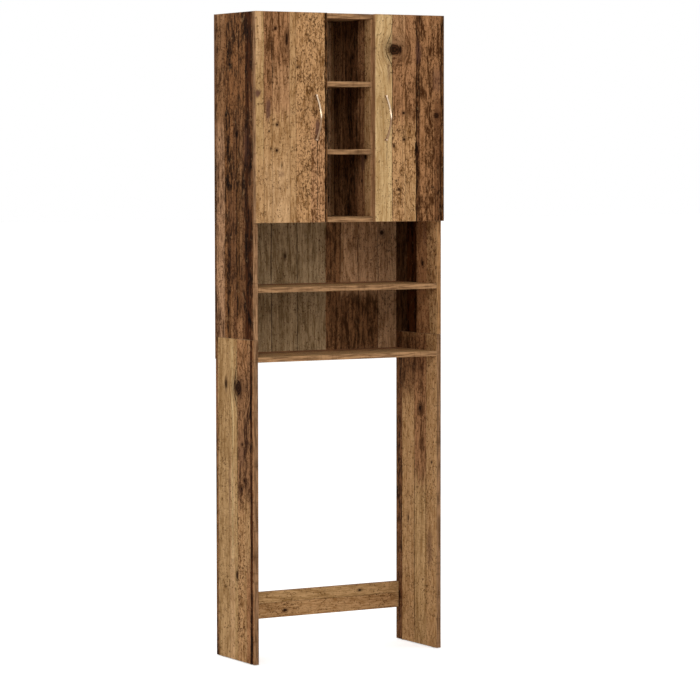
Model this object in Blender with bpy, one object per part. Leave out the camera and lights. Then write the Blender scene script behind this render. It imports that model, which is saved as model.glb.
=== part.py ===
"""Tall, shallow cabinet that stands over a washing machine.

Two cupboards with an open column of three niches between them stand on two open
shelves. Below the shelves is a bay for the machine, open to the front, the back
and the floor. Each side is made of two boards, one on top of the other, and the
doors hang on concealed cup hinges whose two links are modelled.

The origin is on the floor, in the middle of the cabinet's box. +Z is up, +X is to
the right and +Y is to the back. All sizes are in metres.
"""
import math

import bmesh
import bpy
from mathutils import Matrix, Vector

# Overall sizes
WIDTH = 0.640
DEPTH = 0.255               # back of the back panels to front of the doors
HEIGHT = 1.900
FIT = 0.0003                # gap left between pieces that touch
OVERRUN = 0.010             # how far a cutter runs past what it cuts
MERGE = 0.000002            # points nearer than this become one

# Boards
BOARD = 0.015
BOARD_ROUND = 0.0006
BACK_PANEL = 0.003
BAY_HIGH = 0.885            # clear height for the machine
SEAM_OVER_SHELF = 0.050     # the joint between a side's two boards, above the lower open shelf
CUPBOARD_HIGH = 0.610
CUPBOARD_SHELF_SETBACK = 0.012
RAIL_HIGH = 0.080
RAIL_UP = 0.100             # underside of the rear rail above the floor

# Doors
DOOR_BOARD = 0.015
DOOR_WIDE = 0.239
DOOR_GAP = 0.002            # between a door's back and the front edges of the sides
DOOR_ROUND = 0.0010
DIVIDER_COVER = 0.0096      # how much of a divider's edge its door covers

# Bow handles
HANDLE_CENTRES = 0.128
HANDLE_OUT = 0.030
HANDLE_WIDE = 0.0068
HANDLE_THICK = 0.0040
HANDLE_INSET = 0.0375       # from the door's free edge
HANDLE_FOOT_RADIUS = 0.0042
HANDLE_FOOT_HIGH = 0.0050
HANDLE_BORE_RADIUS = 0.0025

# Floor glides, nailed under the lower side boards
GLIDE_HIGH = 0.002
GLIDE_RADIUS = 0.0065
GLIDE_TAPER = 0.0012
GLIDE_INSET = 0.030         # from the front and back edges of the side
NAIL_RADIUS = 0.0010
NAIL_LONG = 0.010

# Dowels between the two boards of a side
DOWEL_RADIUS = 0.004
DOWEL_LONG = 0.030
DOWEL_INSET = 0.045
DOWEL_CHAMFER = 0.001

# Pins that carry the shelves behind the doors
PIN_RADIUS = 0.0024
PIN_DEEP = 0.0080
PIN_OUT = 0.0080
PIN_COLLAR_RADIUS = 0.0040
PIN_COLLAR = 0.0012
PIN_INSET = 0.037           # from the shelf's front and back edges

# Cup hinge, in plan: across from the side's outer face, ahead of its front edge
HINGE_FROM_END = 0.090      # hinge to the nearer end of the door
CUP_RADIUS = 0.0172
CUP_DEEP = 0.0118
CUP_WALL = 0.0008
CUP_EDGE = 0.0036           # door's hinge edge to the cup
FLANGE = 0.0010
FLANGE_RADIUS = 0.0182
CUP_SCREW_REACH = 0.024     # cup's centre to each screw, along the door
CUP_SCREW_SHIFT = 0.006
CUP_WING_RADIUS = 0.0060
CUP_WING_STEP = 0.0001      # the wings are this much thinner than the flange on each face
SCREW_BORE_RADIUS = 0.0021
LINK_PIN_RADIUS = 0.0010
LINK_PLATE = 0.0014
LINK_HALF = 0.0056          # half of a link's height
LINK_EYE_WALL = 0.0008
OUTER_LINK_BOW = 0.0030
INNER_LINK_BOW = 0.0010
CUP_NOTCH = 0.0014          # how deep the cup's rim is notched for the outer link
DOOR_PIN_OUTER = (0.00795, 0.0023)      # from the door's hinge edge, from its back face
DOOR_PIN_INNER = (0.0124, 0.0046)
ARM_PIN_OUTER = (0.0319, -0.0079)
ARM_PIN_INNER = (0.0326, 0.0096)
OPEN_PIVOT_PLAY = 0.0012    # at the inner link's arm end, the linkage's open pivot
INNER_LINK_LONG = 0.0205
INNER_LINK_REST = math.radians(5.43)
ARM_CHEEK = 0.0012
ARM_BACK = 0.058
ARM_FOOT = 0.0036           # side's inner face to the arm's cheeks
ARM_RISE = 0.0105           # side's inner face to the arm's back
ARM_NOSE_RADIUS = 0.0023
PLATE = 0.0020
PLATE_SCREW_BACK = 0.037
PLATE_SCREW_REACH = 0.016
PLATE_FRONT = 0.020
PLATE_BACK = 0.054
PLATE_HALF = 0.0075
PLATE_WING_RADIUS = 0.0055
PLATE_WING_STEP = 0.0001    # the wings are this much thinner than the plate on each face
RIB_FRONT = 0.024
RIB_BACK = 0.052

# Places that follow from the sizes
HALF_WIDE = WIDTH / 2
BACK_Y = (DEPTH + HANDLE_OUT) / 2
SIDE_BACK_Y = BACK_Y - BACK_PANEL - FIT
DOOR_FRONT_Y = BACK_Y - DEPTH
DOOR_BACK_Y = DOOR_FRONT_Y + DOOR_BOARD
FRONT_Y = DOOR_BACK_Y + DOOR_GAP
INNER_X = HALF_WIDE - BOARD
CUPBOARD_UNDER = HEIGHT - CUPBOARD_HIGH
CUPBOARD_FLOOR = CUPBOARD_UNDER + BOARD
CUPBOARD_CEILING = HEIGHT - BOARD
OPEN_SHELF_HEIGHTS = (BAY_HIGH, (BAY_HIGH + CUPBOARD_UNDER) / 2)
SEAM_HEIGHT = BAY_HIGH + BOARD + SEAM_OVER_SHELF
DIVIDER_OUTER_X = HALF_WIDE - DOOR_WIDE + DIVIDER_COVER
DIVIDER_INNER_X = DIVIDER_OUTER_X - BOARD
NICHE_COUNT = 3
NICHE_HIGH = (CUPBOARD_CEILING - CUPBOARD_FLOOR - (NICHE_COUNT - 1) * BOARD) / NICHE_COUNT
CUPBOARD_SHELF_UNDER = (CUPBOARD_FLOOR + CUPBOARD_CEILING - BOARD) / 2
HINGE_HEIGHTS = {"lower": CUPBOARD_UNDER + HINGE_FROM_END, "upper": HEIGHT - HINGE_FROM_END}
HANDLE_HEIGHT = CUPBOARD_UNDER + CUPBOARD_HIGH / 2
CUP_CENTRE = CUP_EDGE + CUP_RADIUS

# Facets round a circle
FINE_SIDES = 28
SIDES = 12
FEW_SIDES = 12

# Each material's colour, metallic value and roughness
FINISHES = {
    "old_wood": ((0.30, 0.19, 0.11, 1.0), 0.0, 0.55),
    "back_print": ((0.16, 0.10, 0.07, 1.0), 0.0, 0.60),
    "raw_beech": ((0.55, 0.36, 0.20, 1.0), 0.0, 0.70),
    "chrome": ((0.80, 0.80, 0.80, 1.0), 1.0, 0.12),
    "nickel": ((0.62, 0.60, 0.57, 1.0), 1.0, 0.30),
    "white_plastic": ((0.80, 0.80, 0.78, 1.0), 0.0, 0.45),
}


class Holder:
    """An empty that carries pieces, with its place in the world."""

    def __init__(self, name, place, parent=None):
        self.place = Vector(place)
        self.empty = bpy.data.objects.new(name, None)
        bpy.context.scene.collection.objects.link(self.empty)
        if parent is None:
            self.empty.location = self.place
        else:
            self.empty.parent = parent.empty
            self.empty.location = self.place - parent.place


class Hand:
    """One side of the cabinet: -1 is the left, where the plan's X runs as the world's, and 1 the right."""

    def __init__(self, name, sign):
        self.name = name
        self.sign = sign

    def plan(self, across, ahead, up=0.0):
        """A step across from the side's outer face, ahead of its front edge and up."""
        return Vector((-self.sign * across, -ahead, up))

    def corner(self, height):
        """The side's outer front edge at a height, where its plan starts."""
        return Vector((self.sign * HALF_WIDE, FRONT_Y, height))

    def point(self, across, ahead, height):
        """The place in the cabinet of a place in plan."""
        return self.corner(height) + self.plan(across, ahead)


def clear_scene():
    """Remove whatever the scene holds."""
    for item in list(bpy.data.objects):
        bpy.data.objects.remove(item, do_unlink=True)


def make_material(name):
    """The material of one finish, made once."""
    found = bpy.data.materials.get(name)
    if found:
        return found
    colour, metallic, roughness = FINISHES[name]
    material = bpy.data.materials.new(name)
    material.use_nodes = True
    shader = material.node_tree.nodes["Principled BSDF"]
    shader.inputs["Base Color"].default_value = colour
    shader.inputs["Metallic"].default_value = metallic
    shader.inputs["Roughness"].default_value = roughness
    material.diffuse_color = colour
    return material


def add_piece(name, form, finish, holder, place=None, start=(0, 0, 0), smooth=False):
    """Turn a form that was made about a start into an object with its origin at a place."""
    place = holder.place if place is None else Vector(place)
    form.transform(Matrix.Translation(Vector(start) - place))
    bmesh.ops.recalc_face_normals(form, faces=form.faces)
    mesh = bpy.data.meshes.new(name)
    form.to_mesh(mesh)
    form.free()
    mesh.materials.append(make_material(finish))
    if smooth:
        mesh.shade_smooth()
        mesh.set_sharp_from_angle(angle=math.radians(35.0))
    piece = bpy.data.objects.new(name, mesh)
    bpy.context.scene.collection.objects.link(piece)
    piece.parent = holder.empty
    piece.location = place - holder.place
    return piece


def combine(first, second, operation):
    """Join, cut or intersect two forms with a Boolean modifier, and give back the result."""
    made = []
    for form in (first, second):
        bmesh.ops.recalc_face_normals(form, faces=form.faces)
        mesh = bpy.data.meshes.new("form")
        form.to_mesh(mesh)
        form.free()
        item = bpy.data.objects.new("form", mesh)
        bpy.context.scene.collection.objects.link(item)
        made.append(item)
    body, tool = made
    modifier = body.modifiers.new("combine", "BOOLEAN")
    modifier.operation = operation
    modifier.object = tool
    graph = bpy.context.evaluated_depsgraph_get()
    result = bmesh.new()
    result.from_mesh(body.evaluated_get(graph).to_mesh())
    bmesh.ops.remove_doubles(result, verts=result.verts, dist=MERGE)
    bmesh.ops.dissolve_degenerate(result, edges=result.edges, dist=MERGE)
    for item in made:
        mesh = item.data
        bpy.data.objects.remove(item, do_unlink=True)
        bpy.data.meshes.remove(mesh)
    return result


def join(*forms):
    """One form out of several that overlap."""
    result = forms[0]
    for form in forms[1:]:
        result = combine(result, form, "UNION")
    return result


def cut(form, *tools):
    """A form with each tool's space taken out."""
    for tool in tools:
        form = combine(form, tool, "DIFFERENCE")
    return form


def block(low, high, rounding=0.0):
    """A box between two corners, with its edges broken by a small bevel."""
    low, high = Vector(low), Vector(high)
    form = bmesh.new()
    bmesh.ops.create_cube(form, size=1.0)
    scale = Matrix.Diagonal((*(high - low), 1.0))
    form.transform(Matrix.Translation((low + high) / 2) @ scale)
    if rounding:
        bmesh.ops.bevel(form, geom=form.edges, offset=rounding, segments=1, affect="EDGES")
    return form


def loft(rings):
    """A closed form through rings of as many points each, with a face over each end."""
    form = bmesh.new()
    made = [[form.verts.new(point) for point in ring] for ring in rings]
    for ring, after in zip(made, made[1:]):
        for index in range(len(ring)):
            follower = (index + 1) % len(ring)
            form.faces.new((ring[index], ring[follower], after[follower], after[index]))
    form.faces.new(made[0])
    form.faces.new(made[-1])
    return form


def circle(radius, sides):
    """Points round a circle about zero."""
    step = 2 * math.pi / sides
    return [(radius * math.cos(step * k), radius * math.sin(step * k)) for k in range(sides)]


def turned(start, direction, profile, sides):
    """A turned form: circles of each radius at each distance along a direction."""
    direction = Vector(direction)
    side = direction.orthogonal().normalized()
    other = direction.cross(side)
    rings = []
    for along, radius in profile:
        centre = Vector(start) + direction * along
        rings.append([centre + side * a + other * b for a, b in circle(radius, sides)])
    return loft(rings)


def rod(start, direction, length, radius, sides):
    """A plain cylinder."""
    return turned(start, direction, ((0.0, radius), (length, radius)), sides)


def plan_prism(hand, outline, half):
    """An outline drawn in plan at one side of the cabinet, raised as far up as down."""
    return loft([[hand.plan(across, ahead, level) for across, ahead in outline] for level in (-half, half)])


def plan_rod(hand, centre, radius, half, sides=FEW_SIDES):
    """An upright cylinder at a place in plan, as far up as down."""
    return rod(hand.plan(*centre, -half), (0, 0, 1), 2 * half, radius, sides)


def plan_block(hand, near, far, half):
    """A block between two places in plan."""
    return plan_prism(hand, [near, (far[0], near[1]), far, (near[0], far[1])], half)


def board(name, low, high, holder, rounding=BOARD_ROUND, finish="old_wood", bores=()):
    """A board between two corners, with its bores cut, and its origin at its centre."""
    form = cut(block(low, high, rounding), *bores)
    return add_piece(name, form, finish, holder, (Vector(low) + Vector(high)) / 2)


def side_span(sign):
    """The outer and inner faces of a side board, in order along X."""
    return sorted((sign * HALF_WIDE, sign * INNER_X))


def shelf_ends(sign):
    """Where the shelf behind a door starts and ends along X."""
    return sorted((sign * (INNER_X - FIT), sign * (DIVIDER_OUTER_X + FIT)))


def pin_depths():
    """The places of the shelf pins from front to back."""
    front = FRONT_Y + CUPBOARD_SHELF_SETBACK + PIN_INSET
    return {"front": front, "rear": SIDE_BACK_Y - PIN_INSET}


def pin_height():
    """The axis of the shelf pins, which carry the shelf on their upper side."""
    return CUPBOARD_SHELF_UNDER - FIT - PIN_RADIUS


def pin_bores(face, direction):
    """Blind bores for a front and a rear shelf pin in the board that has this face."""
    for depth in pin_depths().values():
        start = Vector((face - direction * OVERRUN, depth, pin_height()))
        yield rod(start, (direction, 0, 0), OVERRUN + PIN_DEEP + FIT, PIN_RADIUS + FIT, FEW_SIDES)


def dowel_depths():
    """The places of the dowels from front to back."""
    return {"front": FRONT_Y + DOWEL_INSET, "rear": SIDE_BACK_Y - DOWEL_INSET}


def glide_depths():
    """The places of the floor glides from front to back."""
    return {"front": FRONT_Y + GLIDE_INSET, "rear": SIDE_BACK_Y - GLIDE_INSET}


def build_sides(carcass):
    """Both boards of each side, with dowels between them and glides below."""
    joint = SEAM_HEIGHT + FIT / 2
    half_dowel = DOWEL_LONG / 2
    foot = GLIDE_HIGH + FIT
    for name, sign in (("left", -1), ("right", 1)):
        near, far = side_span(sign)
        middle = (near + far) / 2
        upper_bores = list(pin_bores(sign * INNER_X, sign))
        lower_bores = []
        for place, depth in dowel_depths().items():
            bore = DOWEL_RADIUS + FIT
            reach = half_dowel + FIT
            upper_bores.append(rod((middle, depth, joint - OVERRUN), (0, 0, 1), OVERRUN + reach, bore, SIDES))
            lower_bores.append(rod((middle, depth, joint - reach), (0, 0, 1), OVERRUN + reach, bore, SIDES))
            profile = (
                (-half_dowel, DOWEL_RADIUS - DOWEL_CHAMFER),
                (DOWEL_CHAMFER - half_dowel, DOWEL_RADIUS),
                (half_dowel - DOWEL_CHAMFER, DOWEL_RADIUS),
                (half_dowel, DOWEL_RADIUS - DOWEL_CHAMFER),
            )
            centre = (middle, depth, joint)
            dowel = turned(centre, (0, 0, 1), profile, SIDES)
            add_piece(f"dowel_{name}_{place}", dowel, "raw_beech", carcass, centre, smooth=True)
        for place, depth in glide_depths().items():
            start = (middle, depth, foot - OVERRUN)
            lower_bores.append(rod(start, (0, 0, 1), OVERRUN + NAIL_LONG + FIT, NAIL_RADIUS + FIT, FEW_SIDES))
            profile = (
                (0.0, GLIDE_RADIUS - GLIDE_TAPER),
                (GLIDE_TAPER, GLIDE_RADIUS),
                (GLIDE_HIGH, GLIDE_RADIUS),
                (GLIDE_HIGH, NAIL_RADIUS),
                (foot + NAIL_LONG - NAIL_RADIUS, NAIL_RADIUS),
                (foot + NAIL_LONG, NAIL_RADIUS / 2),
            )
            centre = (middle, depth, 0.0)
            glide = turned(centre, (0, 0, 1), profile, SIDES)
            add_piece(f"glide_{name}_{place}", glide, "white_plastic", carcass, centre, smooth=True)
        board(f"side_{name}_upper", (near, FRONT_Y, joint + FIT / 2), (far, SIDE_BACK_Y, HEIGHT), carcass,
              bores=upper_bores)
        board(f"side_{name}_lower", (near, FRONT_Y, foot), (far, SIDE_BACK_Y, joint - FIT / 2), carcass,
              bores=lower_bores)


def build_level_boards(carcass):
    """The boards that lie between the two sides."""
    reach = INNER_X - FIT
    levels = {
        "top_panel": CUPBOARD_CEILING,
        "cupboard_bottom": CUPBOARD_UNDER,
        "open_shelf_upper": OPEN_SHELF_HEIGHTS[1],
        "open_shelf_lower": OPEN_SHELF_HEIGHTS[0],
    }
    for name, under in levels.items():
        board(name, (-reach, FRONT_Y, under), (reach, SIDE_BACK_Y, under + BOARD), carcass)
    board("rear_rail", (-reach, SIDE_BACK_Y - BOARD, RAIL_UP), (reach, SIDE_BACK_Y, RAIL_UP + RAIL_HIGH), carcass)


def build_column(carcass):
    """The two dividers and the shelves of the open column between them."""
    floor = CUPBOARD_FLOOR + FIT
    ceiling = CUPBOARD_CEILING - FIT
    for name, sign in (("left", -1), ("right", 1)):
        near, far = sorted((sign * DIVIDER_OUTER_X, sign * DIVIDER_INNER_X))
        bores = pin_bores(sign * DIVIDER_OUTER_X, -sign)
        board(f"divider_{name}", (near, FRONT_Y, floor), (far, SIDE_BACK_Y, ceiling), carcass, bores=bores)
    reach = DIVIDER_INNER_X - FIT
    for index, name in enumerate(("lower", "upper"), start=1):
        under = CUPBOARD_FLOOR + index * NICHE_HIGH + (index - 1) * BOARD
        board(f"centre_shelf_{name}", (-reach, FRONT_Y, under), (reach, SIDE_BACK_Y, under + BOARD), carcass)


def build_cupboard_shelves(carcass):
    """The shelf behind each door and its four pins."""
    front = FRONT_Y + CUPBOARD_SHELF_SETBACK
    top = CUPBOARD_SHELF_UNDER + BOARD
    profile = (
        (-PIN_DEEP, PIN_RADIUS),
        (0.0, PIN_RADIUS),
        (0.0, PIN_COLLAR_RADIUS),
        (PIN_COLLAR, PIN_COLLAR_RADIUS),
        (PIN_COLLAR, PIN_RADIUS),
        (PIN_OUT, PIN_RADIUS),
    )
    for name, sign in (("left", -1), ("right", 1)):
        near, far = shelf_ends(sign)
        clear = PIN_COLLAR + FIT
        board(f"cupboard_shelf_{name}", (near + clear, front, CUPBOARD_SHELF_UNDER), (far - clear, SIDE_BACK_Y, top),
              carcass)
        faces = {"outer": (sign * INNER_X, -sign), "inner": (sign * DIVIDER_OUTER_X, sign)}
        for end, (face, direction) in faces.items():
            for place, depth in pin_depths().items():
                start = (face + direction * FIT, depth, pin_height())
                pin = turned(start, (direction, 0, 0), profile, FEW_SIDES)
                add_piece(f"shelf_pin_{name}_{end}_{place}", pin, "nickel", carcass, start, smooth=True)


def build_backs(carcass):
    """The two thin back panels, which meet behind the cupboards' floor."""
    joint = CUPBOARD_UNDER + BOARD / 2
    heights = {"upper": (joint + FIT / 2, HEIGHT), "lower": (BAY_HIGH, joint - FIT / 2)}
    for name, (low, high) in heights.items():
        board(f"back_panel_{name}", (-HALF_WIDE, BACK_Y - BACK_PANEL, low), (HALF_WIDE, BACK_Y, high), carcass,
              rounding=0.0, finish="back_print")


def handle_form(centre):
    """A bow handle that arches out between two round feet on the door's face."""
    steps = 18
    half = HANDLE_CENTRES / 2
    lift = HANDLE_FOOT_HIGH / 2
    rise = HANDLE_OUT - HANDLE_THICK / 2 - lift
    rings = []
    for step in range(steps + 1):
        turn = math.pi * step / steps
        up = half * (2 * step / steps - 1)
        out = lift + rise * math.sin(turn)
        slope = Vector((0, -rise * math.cos(turn) * math.pi, HANDLE_CENTRES)).normalized()
        normal = Vector((1, 0, 0)).cross(slope)
        middle = Vector((centre.x, DOOR_FRONT_Y - out, centre.z + up))
        section = circle(1.0, SIDES)
        rings.append([middle + Vector((HANDLE_WIDE / 2 * a, 0, 0)) + normal * (HANDLE_THICK / 2 * b)
                      for a, b in section])
    feet = []
    for end in (-half, half):
        start = (centre.x, DOOR_FRONT_Y - FIT, centre.z + end)
        feet.append(rod(start, (0, -1, 0), HANDLE_FOOT_HIGH, HANDLE_FOOT_RADIUS, SIDES))
    return join(loft(rings), *feet)


def link_form(hand, start, end, bow, bores):
    """A link: a bowed plate between two eyes, upright along its pins."""
    start, end = Vector(start), Vector(end)
    run = end - start
    across = Vector((-run.y, run.x)).normalized()
    steps = 8
    middle_line = []
    for step in range(steps + 1):
        share = step / steps
        middle_line.append(start + run * share + across * bow * math.sin(math.pi * share))
    sides = []
    for offset in (LINK_PLATE / 2, -LINK_PLATE / 2):
        sides.append([])
        for index, point in enumerate(middle_line):
            before = middle_line[max(index - 1, 0)]
            after = middle_line[min(index + 1, steps)]
            way = (after - before).normalized()
            sides[-1].append(point + Vector((-way.y, way.x)) * offset)
    form = plan_prism(hand, sides[0] + sides[1][::-1], LINK_HALF - FIT)
    for place, bore in zip((start, end), bores):
        form = join(form, plan_rod(hand, place, bore + LINK_EYE_WALL, LINK_HALF, SIDES))
    for place, bore in zip((start, end), bores):
        form = cut(form, plan_rod(hand, place, bore, LINK_HALF + OVERRUN, SIDES))
    return form


def door_pin(pin):
    """A pin of the cup in plan, with the door closed."""
    return pin[0], DOOR_GAP + pin[1]


def cup_form(hand):
    """The cup with its flange, its two screw wings and the two pins of its links."""
    inward = Vector((0, -1, 0))
    back_face = hand.plan(CUP_CENTRE, DOOR_GAP)
    lift = FIT + FLANGE
    profile = ((-lift, FLANGE_RADIUS), (-FIT, FLANGE_RADIUS), (-FIT, CUP_RADIUS), (CUP_DEEP, CUP_RADIUS))
    shell = turned(back_face, inward, profile, FINE_SIDES)
    wing_centre = CUP_CENTRE + CUP_SCREW_SHIFT
    wing = []
    for end in (-1, 1):
        for k in range(FEW_SIDES // 2 + 1):
            turn = math.pi * k / (FEW_SIDES // 2)
            along = CUP_SCREW_REACH + CUP_WING_RADIUS * math.sin(turn)
            across = wing_centre - end * CUP_WING_RADIUS * math.cos(turn)
            wing.append((across, end * along))
    wings = loft([[hand.plan(across, DOOR_GAP - level, along) for across, along in wing]
                  for level in (lift - CUP_WING_STEP, FIT + CUP_WING_STEP)])
    form = join(shell, wings)
    cavity = rod(back_face - inward * OVERRUN, inward, OVERRUN + CUP_DEEP - CUP_WALL, CUP_RADIUS - CUP_WALL, FINE_SIDES)
    bores = []
    for end in (-1, 1):
        place = hand.plan(wing_centre, DOOR_GAP, end * CUP_SCREW_REACH)
        bores.append(rod(place - inward * OVERRUN, inward, OVERRUN, SCREW_BORE_RADIUS, FEW_SIDES))
    notch_end = DOOR_PIN_OUTER[0] - LINK_PIN_RADIUS
    notch = plan_block(hand, (-OVERRUN, DOOR_GAP - OVERRUN), (notch_end, DOOR_GAP + CUP_NOTCH), LINK_HALF + FIT)
    form = cut(form, cavity, notch, *bores)
    for pin in (DOOR_PIN_OUTER, DOOR_PIN_INNER):
        long_pin = plan_rod(hand, door_pin(pin), LINK_PIN_RADIUS, CUP_RADIUS)
        bound = rod(back_face - inward * FIT, inward, CUP_DEEP, CUP_RADIUS - CUP_WALL / 2, FINE_SIDES)
        form = join(form, combine(long_pin, bound, "INTERSECT"))
    return form


def arm_form(hand):
    """The arm: a channel whose cheeks carry the links' fixed pins, bent up to its nose."""
    half = LINK_HALF + ARM_CHEEK + FIT
    foot = BOARD + ARM_FOOT
    back = BOARD + ARM_RISE
    reach = ARM_NOSE_RADIUS
    outer, inner = Vector(ARM_PIN_OUTER), Vector(ARM_PIN_INNER)
    bend = Vector((back, -PLATE_FRONT - 2 * ARM_CHEEK))
    outline = [
        (foot, -ARM_BACK),
        (foot, -PLATE_FRONT),
        (outer.x - 2 * reach, outer.y - reach),
        (outer.x - reach, outer.y),
    ]
    for k in range(SIDES // 2 + 1):
        turn = math.pi * (1 - 2 * k / SIDES)
        outline.append((inner.x + reach * math.cos(turn), inner.y + reach * math.sin(turn)))
    outline += [
        (inner.x + reach, outer.y),
        (inner.x + reach / 2, outer.y - 2 * reach),
        bend,
        (back, -ARM_BACK),
    ]
    form = plan_prism(hand, outline, half)
    shoulder = outer.y - 2 * reach + ARM_CHEEK
    hollow = [
        (BOARD - OVERRUN, -ARM_BACK - OVERRUN),
        (back - ARM_CHEEK, -ARM_BACK - OVERRUN),
        (back - ARM_CHEEK, bend.y + ARM_CHEEK / 2),
        (inner.x - ARM_CHEEK, shoulder),
        (inner.x + reach + OVERRUN, shoulder),
        (inner.x + reach + OVERRUN, inner.y + reach + OVERRUN),
        (BOARD - OVERRUN, inner.y + reach + OVERRUN),
    ]
    form = cut(form, plan_prism(hand, hollow, LINK_HALF + FIT))
    for pin in (ARM_PIN_OUTER, ARM_PIN_INNER):
        form = join(form, plan_rod(hand, pin, LINK_PIN_RADIUS, half - FIT))
    start = hand.plan(back + OVERRUN, -PLATE_SCREW_BACK)
    return cut(form, rod(start, (hand.sign, 0, 0), 2 * OVERRUN, SCREW_BORE_RADIUS, FEW_SIDES))


def plate_form(hand):
    """The mounting plate: two screw wings on the side board and a rib for the arm to sit on."""
    base = BOARD + FIT
    top = base + PLATE
    body = plan_block(hand, (base, -PLATE_BACK), (top, -PLATE_FRONT), PLATE_HALF)
    wing = []
    for end in (-1, 1):
        for k in range(FEW_SIDES // 2 + 1):
            turn = math.pi * k / (FEW_SIDES // 2)
            along = PLATE_SCREW_REACH + PLATE_WING_RADIUS * math.sin(turn)
            ahead = -PLATE_SCREW_BACK - end * PLATE_WING_RADIUS * math.cos(turn)
            wing.append((ahead, end * along))
    levels = (base + PLATE_WING_STEP, top - PLATE_WING_STEP)
    wings = loft([[hand.plan(level, ahead, along) for ahead, along in wing] for level in levels])
    rib_top = BOARD + ARM_RISE - ARM_CHEEK - FIT
    rib = plan_block(hand, (base + PLATE / 2, -RIB_BACK), (rib_top, -RIB_FRONT), LINK_HALF)
    bores = []
    for end in (-1, 1):
        start = hand.plan(top + OVERRUN, -PLATE_SCREW_BACK, end * PLATE_SCREW_REACH)
        bores.append(rod(start, (hand.sign, 0, 0), 2 * OVERRUN, SCREW_BORE_RADIUS, FEW_SIDES))
    return cut(join(body, wings, rib), *bores)


def build_hinge(hand, place, height, carcass, links, door, inner_links):
    """One hinge: the plate and arm on the side, both links, and the cup in the door."""
    tag = f"{hand.name}_{place}"
    eye = LINK_PIN_RADIUS + FIT
    start = Vector(door_pin(DOOR_PIN_INNER))
    end = start + Vector((math.cos(INNER_LINK_REST), math.sin(INNER_LINK_REST))) * INNER_LINK_LONG
    inner_bores = (eye, LINK_PIN_RADIUS + OPEN_PIVOT_PLAY)
    outer_form = link_form(hand, door_pin(DOOR_PIN_OUTER), ARM_PIN_OUTER, OUTER_LINK_BOW, (eye, eye))
    inner_form = link_form(hand, start, end, INNER_LINK_BOW, inner_bores)
    pieces = (
        ("hinge_plate", plate_form(hand), carcass, (BOARD, -PLATE_SCREW_BACK)),
        ("hinge_arm", arm_form(hand), carcass, ARM_PIN_OUTER),
        ("outer_link", outer_form, links, ARM_PIN_OUTER),
        ("inner_link", inner_form, inner_links, start),
        ("hinge_cup", cup_form(hand), door, door_pin(DOOR_PIN_OUTER)),
    )
    for name, form, holder, place_in_plan in pieces:
        add_piece(f"{name}_{tag}", form, "nickel", holder, hand.point(*place_in_plan, height),
                  hand.corner(height), smooth=True)


def build_door(hand, carcass):
    """A door with its cup bores, its handle and its two hinges."""
    middle = CUPBOARD_UNDER + CUPBOARD_HIGH / 2
    links = Holder(f"{hand.name}_outer_links_axis", hand.point(*ARM_PIN_OUTER, middle), carcass)
    door = Holder(f"{hand.name}_door_axis", hand.point(*door_pin(DOOR_PIN_OUTER), middle), links)
    inner_links = Holder(f"{hand.name}_inner_links_axis", hand.point(*door_pin(DOOR_PIN_INNER), middle), door)
    for place, height in HINGE_HEIGHTS.items():
        build_hinge(hand, place, height, carcass, links, door, inner_links)
    bores = []
    for height in HINGE_HEIGHTS.values():
        start = hand.point(CUP_CENTRE, DOOR_GAP - OVERRUN, height)
        bores.append(rod(start, (0, -1, 0), OVERRUN + CUP_DEEP + FIT, CUP_RADIUS + FIT, FINE_SIDES))
    handle = hand.point(DOOR_WIDE - HANDLE_INSET, 0.0, HANDLE_HEIGHT)
    for end in (-HANDLE_CENTRES / 2, HANDLE_CENTRES / 2):
        start = (handle.x, DOOR_BACK_Y + OVERRUN, handle.z + end)
        bores.append(rod(start, (0, -1, 0), DOOR_BOARD + 2 * OVERRUN, HANDLE_BORE_RADIUS, FEW_SIDES))
    near, far = sorted((hand.sign * HALF_WIDE, hand.sign * (HALF_WIDE - DOOR_WIDE)))
    low = (near, DOOR_FRONT_Y, CUPBOARD_UNDER)
    high = (far, DOOR_BACK_Y, HEIGHT)
    form = cut(block(low, high, DOOR_ROUND), *bores)
    add_piece(f"door_{hand.name}", form, "old_wood", door)
    add_piece(f"handle_{hand.name}", handle_form(handle), "chrome", door,
              (handle.x, DOOR_FRONT_Y, handle.z), smooth=True)


def main():
    """Build the whole cabinet."""
    clear_scene()
    carcass = Holder("carcass", (0, 0, 0))
    build_sides(carcass)
    build_level_boards(carcass)
    build_column(carcass)
    build_cupboard_shelves(carcass)
    build_backs(carcass)
    for hand in (Hand("left", -1), Hand("right", 1)):
        build_door(hand, carcass)


main()
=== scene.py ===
"""Looks of a washing machine cabinet: cupboards and open shelves, tall and shallow, over an open bay.

Its boards carry a matt print of reclaimed planks with thin edge tape, its doors have
bright bow handles and concealed cup hinges. Lengths are in metres in the cabinet's own
frame: the origin is on the floor, +Z is up, +X is to the right, +Y is to the back. Only the
planks and marks of a print are in millimetres from their board's lowest corner.
"""

import logging
import math
from collections.abc import Callable, Sequence
from dataclasses import dataclass
from enum import Enum
from types import SimpleNamespace

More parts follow.
